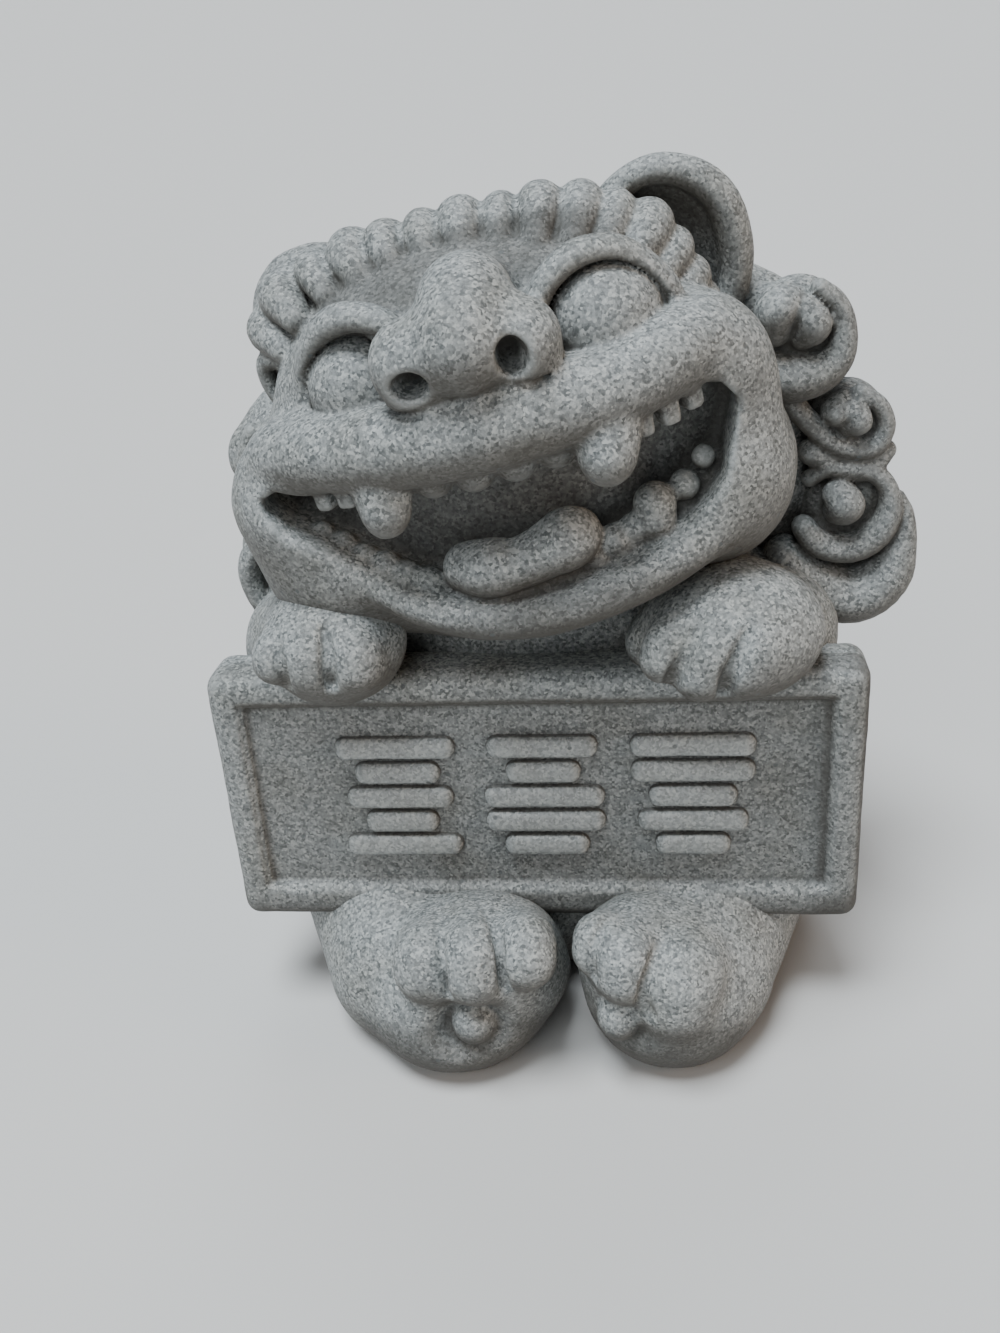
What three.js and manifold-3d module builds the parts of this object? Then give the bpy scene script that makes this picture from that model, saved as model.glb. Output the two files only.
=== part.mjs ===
// Lion figurine holding a board, cast as one piece of speckled stone.
// Millimetres, +Z up, +X to the viewer's right, the face looks along -Y, the ground is Z = 0.
import * as THREE from "three";
import { mergeVertices } from "three/addons/utils/BufferGeometryUtils.js";
import Module from "manifold-3d";

const wasm = await Module();
wasm.setup();
const { Manifold, Mesh: SolidMesh } = wasm;

// Driving sizes
const board = {
  width: 84, height: 37.5, thick: 9, corner: 2.2,
  foot: 15.3, front: -20.1, lean: 6,
  border: 4.6, lowBorder: 5.6, recess: 1.4,
};
const strokes = {
  groups: 3, pitch: 19.2, offset: 1.2, rows: 5, rowPitch: 3.72, middle: 19.3,
  lengths: [16, 11.5, 14.5, 10, 16], height: 2.5, proud: 1.4,
};
const head = { x: -1.3, z: 80, roll: 11, yaw: 2.5 };
const skull = { middle: [0, 6.5, -4], radii: [32, 22, 21.5] };
const mouth = { halfWidth: 26, top: 3.4, dip: 0.9, low: -11.4, corner: -1.5, floor: -14.5, bow: 50 };
const smallTeeth = [
  { x: 2.4, y: -21, size: 1.9, yaw: 0 },
  { x: 7, y: -20.5, size: 1.8, yaw: 6 },
  { x: 19, y: -16.2, size: 1.6, yaw: 25 },
];
const eye = { x: 13, z: 10.5, radius: 6.6, lid: 2.1 };
const fringe = {
  locks: 15, thick: 3.05, pinch: 0.75, depth: 3.1, lean: [0, 0.87, 0.5], crest: 20.1,
  left: { reach: 25.3, power: 4 }, right: { reach: 24.4, power: 2.6 },
};
const ear = { x: 21.4, z: 12.5, radii: [11.2, 5.2, 11.6], hollow: [7.6, 6.2, 8.2] };
const sideCurls = [
  { x: 36.3, z: 0.6, size: 5.9 },
  { x: 40.6, z: -12.9, size: 5.2 },
  { x: 38.6, z: -24.4, size: 6.6 },
];
const leftCurlsIn = 0.91;
const curl = {
  depth: 2.6, shut: 150, around: 9,
  profile: [[0, 1], [0.34, 0.7], [0.48, -0.2], [0.66, 0.75], [0.85, 0.7], [1, -0.1], [0.7, -1.2], [0, -1.3]],
};
const backCurls = [
  { tilt: 54, turns: [-45, 0, 45], size: 6.4 },
  { tilt: 14, turns: [-50, -17, 17, 50], size: 7 },
  { tilt: -26, turns: [-34, 0, 34], size: 7 },
];

// Left and right limbs differ, as the pose does: viewer's left is side -1
const feet = [
  {
    ball: [[-10.6, -25.4, 8.4], [13, 11.2, 12.8]], roll: 4,
    hollow: [[-8.8, -37.4, 11.6], [5.8, 4.6, 4.8]], pad: [-8.4, -33.8, 10.5], padSize: 3,
    toes: [
      { path: [[-13.6, -24, 14.6], [-14.3, -30.2, 18.6], [-14.4, -31.8, 17.6]], thick: 4.1 },
      { path: [[-7.8, -24, 15.2], [-7.9, -31.2, 19.8], [-7.9, -33, 18.4]], thick: 4.3 },
      { path: [[-2.4, -24, 15.4], [-1.4, -30, 20.4], [-1.1, -32, 19.8]], thick: 3.9 },
    ],
  },
  {
    ball: [[16.4, -25, 8.4], [10.8, 10.6, 12.6]], roll: -14,
    hollow: [[10.6, -37, 11.8], [4.6, 5, 5.2]], pad: [10.4, -33, 10.9], padSize: 3,
    toes: [
      { path: [[9.4, -24, 15.8], [8.2, -28.8, 20.4], [7.9, -30.2, 19.6]], thick: 3.4 },
      { path: [[12.6, -24, 15.8], [11.7, -31, 19.4], [11.4, -32.4, 17.8]], thick: 4 },
      { path: [[19, -25, 13.6], [18.2, -30, 15.4], [17.6, -31.4, 13.2]], thick: 5.5 },
    ],
  },
];
const paws = [
  {
    ball: [[-24, -14.2, 57], [9, 9, 8]],
    toes: [
      { path: [[-29, -16.5, 58.5], [-30.4, -19, 58.2], [-30.5, -19.4, 57]], thick: 2.7 },
      { path: [[-25.2, -17, 59], [-26, -19.8, 58.6], [-26.1, -20.2, 56.8]], thick: 3.1 },
      { path: [[-20.4, -17, 59], [-20.2, -19.6, 58.6], [-20.2, -20.2, 57]], thick: 3.6 },
    ],
  },
  {
    ball: [[25.3, -13.6, 57], [10.9, 9.8, 8.4]],
    toes: [
      { path: [[19.6, -16.5, 59.4], [17.8, -19.2, 58.4], [17.1, -19.8, 56.8]], thick: 3.3 },
      { path: [[24.2, -17, 59.6], [22.2, -19.9, 58.4], [21.2, -20.6, 55.4]], thick: 3.7 },
      { path: [[28.6, -16.5, 59.2], [27.2, -19.4, 58.2], [26.2, -20.2, 56]], thick: 3.9 },
    ],
  },
];

const radians = THREE.MathUtils.degToRad;
const sides = [-1, 1];

// A place holds a local frame: roll lifts its right side, yaw turns it to its left, lean tips it back
function placeAt(origin, { roll = 0, yaw = 0, lean = 0 } = {}, outer = new THREE.Matrix4()) {
  const turn = new THREE.Euler(-radians(lean), -radians(roll), radians(yaw), "ZYX");
  const local = new THREE.Matrix4().makeRotationFromEuler(turn).setPosition(...origin);
  return outer.clone().multiply(local);
}

const ground = new THREE.Matrix4();
const headPlace = placeAt([head.x, 0, head.z], head);
const boardPlace = placeAt([0, board.front, board.foot], board);

// A closed geometry becomes a solid once its shared vertices are merged. A mirrored one is turned out again.
function solid(geometry, place = ground, mirror = false) {
  geometry.deleteAttribute("normal");
  geometry.deleteAttribute("uv");
  const merged = mergeVertices(geometry, 1e-4).applyMatrix4(place);
  const corners = merged.index.array;
  const triangles = [];
  for (let i = 0; i < corners.length; i += 3) {
    const [a, b, c] = corners.slice(i, i + 3);
    if (a !== b && b !== c && c !== a) triangles.push(...(mirror ? [a, c, b] : [a, b, c]));
  }
  return new Manifold(new SolidMesh({
    numProp: 3,
    vertProperties: new Float32Array(merged.attributes.position.array),
    triVerts: new Uint32Array(triangles),
  }));
}

function ball(place, centre, radii, around = 14, rows = 9, turn = {}) {
  const geometry = new THREE.SphereGeometry(1, around, rows).rotateX(Math.PI / 2).scale(...radii);
  return solid(geometry, placeAt(centre, turn, place));
}

function block(place, centre, size, turn = {}) {
  return solid(new THREE.BoxGeometry(...size), placeAt(centre, turn, place));
}

// The radius at t runs evenly through the given radii
function blend(radii, t) {
  const at = t * (radii.length - 1);
  const low = Math.min(Math.floor(at), radii.length - 2);
  return THREE.MathUtils.lerp(radii[low], radii[low + 1], at - low);
}

// Two directions square to the path: outward in the carved face, and along its depth
function across(path, t, depth) {
  const along = path.getTangent(t);
  const out = new THREE.Vector3().crossVectors(along, depth).normalize();
  return { along, out, deep: new THREE.Vector3().crossVectors(out, along) };
}

const vectors = (points) => points.map((point) => new THREE.Vector3(...point));

// A lock, limb or lip: a capsule bent along a curve, with its own radius at each point
function rope(place, points, radii, { around = 8, steps = 6, caps = 2, depth = [0, 1, 0], squash = 1 } = {}) {
  const path = new THREE.CatmullRomCurve3(vectors(points));
  const deepWay = new THREE.Vector3(...depth);
  const geometry = new THREE.CapsuleGeometry(1, 1, caps, around, steps);
  const position = geometry.attributes.position;
  for (let i = 0; i < position.count; i += 1) {
    const [x, y, z] = [position.getX(i), position.getY(i), position.getZ(i)];
    const t = THREE.MathUtils.clamp(y + 0.5, 0, 1);
    const beyond = y + 0.5 - t;
    const { along, out, deep } = across(path, t, deepWay);
    const radius = blend(radii, t);
    const point = path.getPoint(t)
      .addScaledVector(along, beyond * radius)
      .addScaledVector(out, x * radius)
      .addScaledVector(deep, z * radius * squash);
    position.setXYZ(i, point.x, point.y, point.z);
  }
  return solid(geometry, place);
}

// A closed ring along a curve, such as the lips
function ring(place, points, radii, around = 6, steps = 32) {
  const path = new THREE.CatmullRomCurve3(vectors(points), true);
  const deepWay = new THREE.Vector3(0, 1, 0);
  const closed = [...radii, radii[0]];
  const geometry = new THREE.TorusGeometry(2, 1, around, steps);
  const position = geometry.attributes.position;
  for (let i = 0; i < position.count; i += 1) {
    const [x, y, z] = [position.getX(i), position.getY(i), position.getZ(i)];
    const t = (Math.atan2(y, x) / (2 * Math.PI) + 1) % 1;
    const { out, deep } = across(path, t, deepWay);
    const radius = blend(closed, t);
    const point = path.getPoint(t)
      .addScaledVector(out, (Math.hypot(x, y) - 2) * radius)
      .addScaledVector(deep, z * radius);
    position.setXYZ(i, point.x, point.y, point.z);
  }
  return solid(geometry, place);
}

const join = (parts) => parts.reduce((whole, part) => whole.add(part));

// Where round shapes meet, a pocket can be sealed in between them. The casting is solid there.
const withoutPockets = (shape) => join(shape.decompose().filter((piece) => piece.volume() > 0));

const mirrored = (points) => points.map(([x, y, z]) => [-x, y, z]);
const toSide = (side, [x, y, z]) => [side * x, y, z];

// The seated body: belly and back, a wide base, thighs, and arms bent up to the board
function makeBody() {
  const parts = [
    ball(ground, [0, 8, 30], [29, 22, 34], 14, 7),
    ball(ground, [0, 6, 12], [35, 24, 19], 16, 7),
  ];
  const knees = [{ at: [-19, -20.4, 8], thick: 11.6 }, { at: [20.6, -21, 8.4], thick: 10.8 }];
  for (const side of sides) {
    const knee = knees[side < 0 ? 0 : 1];
    const hip = toSide(side, [24.5, -2, 11]);
    const arm = [[29, 6, 48], [30.5, -3, 50], [25, -11, 56]].map((point) => toSide(side, point));
    parts.push(
      rope(ground, [hip, knee.at], [14.4, knee.thick], { around: 10, steps: 1, depth: [0, 0, 1] }),
      rope(ground, arm, [10.5, 9, 8], { around: 8, steps: 2, caps: 1, depth: [1, 0, 0] }),
    );
  }
  return join(parts);
}

// The tail lies up the back as one bent lock with two smaller ones beside it
function makeTail() {
  const lock = (points, radii) => rope(ground, points, radii, { around: 6, steps: 4, caps: 1 });
  return join([
    lock([[0, 28, 4], [5, 31, 14], [-3, 31.5, 26], [4, 30, 37], [-1, 27, 46]], [5, 5.6, 5.4, 4.4, 2]),
    lock([[-6, 28, 8], [-11, 29.5, 17], [-7, 30, 27]], [4, 3.8, 1.8]),
    lock([[7, 28.5, 19], [12, 28.5, 27], [8, 27.5, 36]], [4, 3.6, 1.8]),
  ]);
}

// The board: rounded corners, a raised border round a sunk panel, and rows of shallow strokes
function makeBoard() {
  const { width, height, thick, corner, border, lowBorder, recess } = board;
  const outline = new THREE.Shape();
  const [x, z] = [width / 2 - corner, height - corner];
  outline.absarc(x, corner, corner, -Math.PI / 2, 0);
  outline.absarc(x, z, corner, 0, Math.PI / 2);
  outline.absarc(-x, z, corner, Math.PI / 2, Math.PI);
  outline.absarc(-x, corner, corner, Math.PI, 1.5 * Math.PI);
  const slab = new THREE.ExtrudeGeometry(outline, { depth: thick, curveSegments: 2, bevelEnabled: false })
    .rotateX(Math.PI / 2).translate(0, thick, 0);
  const panel = [width - 2 * border, 2 * recess, height - border - lowBorder];
  let whole = solid(slab, boardPlace).subtract(block(boardPlace, [0, 0, lowBorder + panel[2] / 2], panel));
  for (let group = 0; group < strokes.groups; group += 1) {
    const middle = (group - (strokes.groups - 1) / 2) * strokes.pitch + strokes.offset;
    for (let row = 0; row < strokes.rows; row += 1) {
      const z = strokes.middle + ((strokes.rows - 1) / 2 - row) * strokes.rowPitch;
      const length = strokes.lengths[(row + 2 * group) % strokes.rows];
      whole = whole.add(block(boardPlace, [middle, recess, z], [length, 2 * strokes.proud, strokes.height]));
    }
  }
  return whole;
}

function makeToe({ path, thick }) {
  return rope(ground, path, [0.9 * thick, thick, thick], { around: 6, steps: 2, depth: [1, 0, 0] });
}

// A foot seen from its sole: ball and heel, a hollow with its round pad, and three curled toes
function makeFoot({ ball: [centre, radii], roll, hollow, pad, padSize, toes }) {
  return join([
    ball(ground, centre, radii, 12, 7, { roll }).subtract(ball(ground, ...hollow, 8, 5)),
    ball(ground, pad, [padSize, padSize, padSize], 7, 4),
    ...toes.map(makeToe),
  ]);
}

// A paw that grips the board's top edge with three toes
function makePaw({ ball: [centre, radii], toes }) {
  return join([ball(ground, centre, radii, 12, 7), ...toes.map(makeToe)]);
}

// Skull, brow, jaw and cheeks
function makeSkull() {
  return join([
    ball(headPlace, skull.middle, skull.radii, 16, 9),
    ball(headPlace, [0, -2, 4], [28, 17, 17], 12, 7),
    ball(headPlace, [0, -4, -9], [25, 17.5, 12], 10, 5),
    ...sides.map((side) => ball(headPlace, [side * 21, -6, -3], [12.5, 14, 17], 10, 6)),
  ]);
}

// The lips run as one ring round the grin, thick above and thinner below
const lipHalf = [
  [0, -22.5, 8.3], [10, -21.6, 8.4], [18, -18, 8.8], [23.3, -13.8, 8.2], [27.2, -10.4, 4.8], [28.5, -9.2, -1],
  [27.2, -10.2, -6.2], [23.4, -13.5, -9.8], [17, -17.5, -13], [9, -20.5, -15], [0, -21.5, -15.6],
];
const lipThick = [5.7, 5.6, 5.3, 4.8, 4.3, 4, 3.7, 3.5, 3.4, 3.3, 3.3];

function makeLips() {
  const back = mirrored(lipHalf).reverse().slice(1, -1);
  const thick = [...lipThick, ...[...lipThick].reverse().slice(1, -1)];
  return ring(headPlace, [...lipHalf, ...back], thick);
}

// The open mouth, hollowed back from the lips to a floor that bows round with the face
function makeMouthHollow() {
  const { halfWidth, top, dip, low, corner, floor, bow } = mouth;
  const outline = new THREE.Shape();
  outline.moveTo(-halfWidth, top);
  outline.quadraticCurveTo(0, top - 2 * dip, halfWidth, top);
  outline.quadraticCurveTo(halfWidth + 1, corner, halfWidth - 5, -5);
  outline.bezierCurveTo(halfWidth - 12, low + 1, 6, low, 0, low);
  outline.bezierCurveTo(-6, low, 12 - halfWidth, low + 1, 5 - halfWidth, -5);
  outline.quadraticCurveTo(-halfWidth - 1, corner, -halfWidth, top);
  const through = 40;
  const cut = new THREE.ExtrudeGeometry(outline, { depth: through, curveSegments: 5, bevelEnabled: false });
  const core = new THREE.CylinderGeometry(bow, bow, through, 32);
  const corePlace = placeAt([0, floor + bow, 0], {}, headPlace);
  return solid(cut.rotateX(Math.PI / 2), headPlace).subtract(solid(core.rotateX(Math.PI / 2), corePlace));
}

// Fangs, small teeth in both jaws, and the tongue lying to one side
function makeMouthParts() {
  const pegForm = { around: 5, steps: 1, caps: 1, depth: [1, 0, 0] };
  const peg = (points, radii) => rope(headPlace, points, radii, pegForm);
  const bend = [[-6.6, -17.6, -10], [-3.5, -19.6, -9.9], [0.5, -20.2, -9.6], [4, -20, -8.2], [6, -18.4, -8]];
  const tongue = rope(headPlace, bend, [3.1, 3.4, 3, 3.2, 3.3], { around: 7, steps: 5, caps: 1 });
  const parts = [tongue];
  for (const side of sides) {
    const at = (point) => toSide(side, point);
    parts.push(
      peg([[12.4, -19.5, 4], [12.7, -21.8, 0.2], [12.7, -22.2, -1.8]].map(at), [3.6, 3.1, 2.1]),
      peg([[14.6, -17, -10], [14.8, -18, -6]].map(at), [3, 2.5]),
      peg([[19, -14.6, -7.4], [19.4, -15, -3.9]].map(at), [2.2, 1.8]),
    );
    for (const { x, y, size, yaw } of smallTeeth) {
      parts.push(block(headPlace, [side * x, y, 2.8], [2 * size, 3.6, 4], { yaw: side * yaw }));
    }
  }
  return join(parts);
}

// A pear-shaped nose with flared wings
function makeNose() {
  const ridge = [[0.3, -13.5, 17.6], [0.2, -18.5, 16.8], [0, -23, 16]];
  const nose = rope(headPlace, ridge, [5.2, 6, 7.2], { around: 10, steps: 2, caps: 3, depth: [1, 0, 0] });
  return join([nose, ...sides.map((side) => ball(headPlace, [side * 7.3, -22, 15.2], [4.8, 6, 4.8], 8, 5))]);
}

function makeNostril(side) {
  return ball(headPlace, [side * 5.4, -28.6, 15], [2, 4.6, 2.4], 8, 5, { yaw: side * 12 });
}

function makeLid(side) {
  const arch = [[5.6, -13, 9.5], [7.2, -13.4, 14.6], [12.9, -11.4, 18], [18.6, -9.4, 15.4], [22, -8.2, 9]];
  const points = arch.map((point) => toSide(side, point));
  return rope(headPlace, points, Array(arch.length).fill(eye.lid), { around: 6, steps: 7, caps: 1 });
}

function makeEyeball(side) {
  return ball(headPlace, [side * eye.x, -11.6, eye.z], Array(3).fill(eye.radius), 12, 7);
}

// The fringe is one band along a flattened arch over the brow, pinched between its upright locks
function makeFringe() {
  const { locks, thick, pinch, depth, lean, crest, left, right } = fringe;
  const arch = [];
  const count = 24;
  for (let step = 0; step <= count; step += 1) {
    const angle = Math.PI * (0.08 + 0.84 * step / count);
    const level = Math.cos(angle);
    const { reach, power } = level < 0 ? left : right;
    const x = reach * Math.sign(level) * Math.abs(level) ** (2 / power);
    arch.push([x, -6, crest * Math.sin(angle) ** (2 / power)]);
  }
  const path = new THREE.CatmullRomCurve3(vectors(arch));
  const even = path.getSpacedPoints(count).map((point) => point.toArray());
  const steps = 3 * locks;
  const widths = Array.from({ length: steps + 1 }, (_, step) => thick * (step % 3 === 0 ? pinch : 1));
  return rope(headPlace, even, widths, { around: 7, steps, caps: 1, depth: lean, squash: depth });
}

function makeEar(side) {
  const earPlace = placeAt([side * ear.x, 9.5, ear.z], { yaw: side * 8 }, headPlace);
  return ball(earPlace, [0, 0, 0], ear.radii, 12, 6)
    .subtract(ball(earPlace, [-side * 0.5, -6.5, -0.8], ear.hollow, 10, 5));
}

// A curl of the mane: a round disc with a raised band, and a groove that winds round a bud
function makeCurl(place, size, side) {
  const points = curl.profile.map(([radius, rise]) => new THREE.Vector2(radius * size, rise * curl.depth));
  const geometry = new THREE.LatheGeometry(points.reverse(), curl.around);
  const position = geometry.attributes.position;
  for (let i = 0; i < position.count; i += 1) {
    const angle = Math.atan2(position.getZ(i), position.getX(i));
    const shut = 0.5 + 0.5 * Math.cos(angle - radians(curl.shut));
    const inGroove = Math.hypot(position.getX(i), position.getZ(i)) < 0.6 * size;
    if (inGroove && position.getY(i) < 0 && position.getY(i) > -0.5 * curl.depth) {
      position.setY(i, THREE.MathUtils.lerp(position.getY(i), 0.6 * curl.depth, shut ** 2));
    }
  }
  return solid(geometry.scale(side, -1, 1), place, side > 0);
}

// Three curls hang down each side of the face, and the lowest has a second band under it
function makeSideMane(side) {
  const inward = side < 0 ? leftCurlsIn : 1;
  const root = [[26, 7, -2], [32, 9, -8], [34, 9, -18], [32, 9, -27]].map((point) => toSide(side, point));
  const band = [[30, 4.5, -31.5], [35, 4, -36.5], [40, 4, -36.8], [43.6, 4, -33], [44.2, 4, -27.5]]
    .map((point) => toSide(side * inward, point));
  return join([
    rope(headPlace, root, [7, 6, 6, 7], { around: 7, steps: 3, caps: 1 }),
    rope(headPlace, band, [2.8, 2.8, 2.8, 2.6, 2], { around: 5, steps: 5, caps: 1, squash: 1.4 }),
    ...sideCurls.map(({ x, z, size }) => {
      const curlPlace = placeAt([side * x * inward, 3.5, z], {}, headPlace);
      return makeCurl(curlPlace, size, side);
    }),
  ]);
}

// Rows of plainer round curls cover the back of the head
function makeBackMane() {
  const [radiusX, radiusY, radiusZ] = skull.radii;
  const bosses = backCurls.flatMap(({ tilt, turns, size }) => turns.map((turn) => {
    const level = Math.cos(radians(tilt));
    const x = radiusX * Math.sin(radians(turn)) * level;
    const y = skull.middle[1] + radiusY * Math.cos(radians(turn)) * level;
    const z = skull.middle[2] + radiusZ * Math.sin(radians(tilt));
    return ball(headPlace, [x, y, z], [size, size, size], 6, 4);
  }));
  return join(bosses);
}

// Neck and chest fill the space between chin, paws and board
const makeChest = () => ball(ground, [0.5, 7.6, 57], [28, 16.8, 18], 12, 6);

function makeFigure() {
  const face = join([makeSkull(), makeLips(), makeNose(), ...sides.map(makeLid)])
    .subtract(makeMouthHollow());
  const carved = face.subtract(join(sides.map(makeNostril)));
  const whole = join([
    makeBody(), makeChest(), makeTail(), carved, makeMouthParts(), ...sides.map(makeEyeball),
    makeFringe(), ...sides.map(makeEar), makeBackMane(), ...sides.map(makeSideMane),
    makeBoard(), ...feet.map(makeFoot), ...paws.map(makePaw),
  ]);
  return withoutPockets(whole.subtract(block(ground, [0, 0, -10], [200, 200, 20])));
}

const stone = new THREE.MeshStandardMaterial({ color: 0x7f8a87, roughness: 0.85, metalness: 0 });

function toMesh(name, shape) {
  const { numProp, vertProperties, triVerts } = shape.getMesh();
  const geometry = new THREE.BufferGeometry();
  geometry.setAttribute("position", new THREE.BufferAttribute(new Float32Array(vertProperties), numProp));
  geometry.setIndex(new THREE.BufferAttribute(new Uint32Array(triVerts), 1));
  geometry.computeVertexNormals();
  const mesh = new THREE.Mesh(geometry, stone);
  mesh.name = name;
  return mesh;
}

const lion = new THREE.Group();
lion.add(toMesh("lion_with_board", makeFigure()));

export default lion;
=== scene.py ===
# Lion figurine with a board, cast as one piece of speckled stone. Sizes are in millimetres.
import math
import bpy
import numpy as np
from mathutils import Euler, Matrix, Vector


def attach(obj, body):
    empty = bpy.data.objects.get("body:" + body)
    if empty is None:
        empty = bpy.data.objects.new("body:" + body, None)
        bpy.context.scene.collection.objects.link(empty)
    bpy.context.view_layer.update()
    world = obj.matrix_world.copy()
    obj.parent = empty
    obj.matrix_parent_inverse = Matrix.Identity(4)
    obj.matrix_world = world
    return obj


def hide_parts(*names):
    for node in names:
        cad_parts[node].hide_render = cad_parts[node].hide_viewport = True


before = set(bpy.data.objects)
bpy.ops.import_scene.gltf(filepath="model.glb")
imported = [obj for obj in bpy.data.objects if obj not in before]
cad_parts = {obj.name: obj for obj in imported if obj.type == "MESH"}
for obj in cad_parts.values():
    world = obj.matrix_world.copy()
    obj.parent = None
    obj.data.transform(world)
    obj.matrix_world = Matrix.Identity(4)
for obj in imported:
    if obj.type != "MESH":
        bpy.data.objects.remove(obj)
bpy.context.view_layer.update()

mm = 0.001  # Blender's own unit is the metre
node = "lion_with_board"
sides = (-1, 1)


# Places: roll lifts the right side, yaw turns it to its left, lean tips it back
def placeAt(origin, roll=0, yaw=0, lean=0):
    turn = Euler((-math.radians(lean), -math.radians(roll), math.radians(yaw))).to_matrix()
    return np.array(Matrix.Translation(origin) @ turn.to_4x4())


def toOuter(place, points):
    return np.asarray(points) @ place[:3, :3].T + place[:3, 3]


def toLocal(place, x, y, z):
    turn, (ox, oy, oz) = place[:3, :3], place[:3, 3]
    x, y, z = x - ox, y - oy, z - oz
    if np.allclose(turn, np.eye(3)):
        return x, y, z
    return [turn[0, k] * x + turn[1, k] * y + turn[2, k] * z for k in range(3)]


head = dict(x=-1.3, z=80, roll=11, yaw=2.5)
board = dict(
    width=84, height=37.5, thick=9, corner=2.2, foot=15.3, front=-20.1, lean=6,
    # The last amount on the next line is painted shade in the sunk panel
    border=4.6, lowBorder=5.6, recess=1.4, bevel=0.6, step=0.42, panelShade=0.42,
)
ground = placeAt((0, 0, 0))
headPlace = placeAt((head["x"], 0, head["z"]), head["roll"], head["yaw"])
boardPlace = placeAt((0, board["front"], board["foot"]), lean=board["lean"])


# Forms: each has its box, and a distance that is below zero inside it
class Form:
    def __init__(self, low, high, distance):
        self.low, self.high, self.distance = np.array(low, float), np.array(high, float), distance


def ball(centre, radii, **turn):
    place = placeAt(centre, **turn)
    radii = np.array(radii, float)
    reach = np.abs(place[:3, :3]) @ radii

    def distance(x, y, z):
        scaled = [v / r for v, r in zip(toLocal(place, x, y, z), radii)]
        near = np.sqrt(sum(v ** 2 for v in scaled))
        slope = np.sqrt(sum((v / r) ** 2 for v, r in zip(scaled, radii)))
        return near * (near - 1) / np.maximum(slope, 1e-6)
    return [Form(place[:3, 3] - reach, place[:3, 3] + reach, distance)]


def slab(centre, half, edge, **turn):
    place = placeAt(centre, **turn)
    half = np.array(half, float)
    reach = np.abs(place[:3, :3]) @ half

    def distance(x, y, z):
        a, b, c = [np.abs(v) - (h - edge) for v, h in zip(toLocal(place, x, y, z), half)]
        outside = np.sqrt(np.maximum(a, 0) ** 2 + np.maximum(b, 0) ** 2 + np.maximum(c, 0) ** 2)
        return outside + np.minimum(np.maximum(np.maximum(a, b), c), 0) - edge
    return [Form(place[:3, 3] - reach, place[:3, 3] + reach, distance)]


def link(start, end, thick, deeper):
    span = end[:3] - start[:3]
    square = max(span @ span, 1e-9)
    stretch = np.array([1, deeper, 1])

    def distance(x, y, z):
        dx, dy, dz = x - start[0], y / deeper - start[1], z - start[2]
        t = np.clip((dx * span[0] + dy * span[1] + dz * span[2]) / square, 0, 1)
        away = np.sqrt((dx - t * span[0]) ** 2 + (dy - t * span[1]) ** 2 + (dz - t * span[2]) ** 2)
        return away - (start[3] + t * (end[3] - start[3]))
    low = (np.minimum(start[:3], end[:3]) - thick) * stretch
    high = (np.maximum(start[:3], end[:3]) + thick) * stretch
    return Form(low, high, distance)


# A limb, lock or lip through points of x, y, z and thickness. deeper stretches its section along Y.
def rope(points, count=0, closed=False, deeper=1):
    path = smooth(points, count, closed) if count else np.array(points, float)
    path = path / np.array([1, deeper, 1, 1])
    return [link(a, b, max(a[3], b[3]), deeper) for a, b in zip(path[:-1], path[1:])]


# An even curve through the points
def smooth(points, count, closed=False):
    p = np.array(points, float)
    p = np.vstack([p[-1], p, p[0], p[1]] if closed else [2 * p[0] - p[1], p, 2 * p[-1] - p[-2]])
    spans = len(p) - 3
    out = []
    for at in np.linspace(0, spans, count + 1):
        i = min(int(at), spans - 1)
        t = at - i
        a, b, c, d = p[i:i + 4]
        bend = (2 * a - 5 * b + 4 * c - d) * t ** 2 + (3 * b - a - 3 * c + d) * t ** 3
        out.append(0.5 * (2 * b + (c - a) * t + bend))
    return np.array(out)


def toSide(side, points):
    return [(side * p[0], *p[1:]) for p in points]


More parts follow.
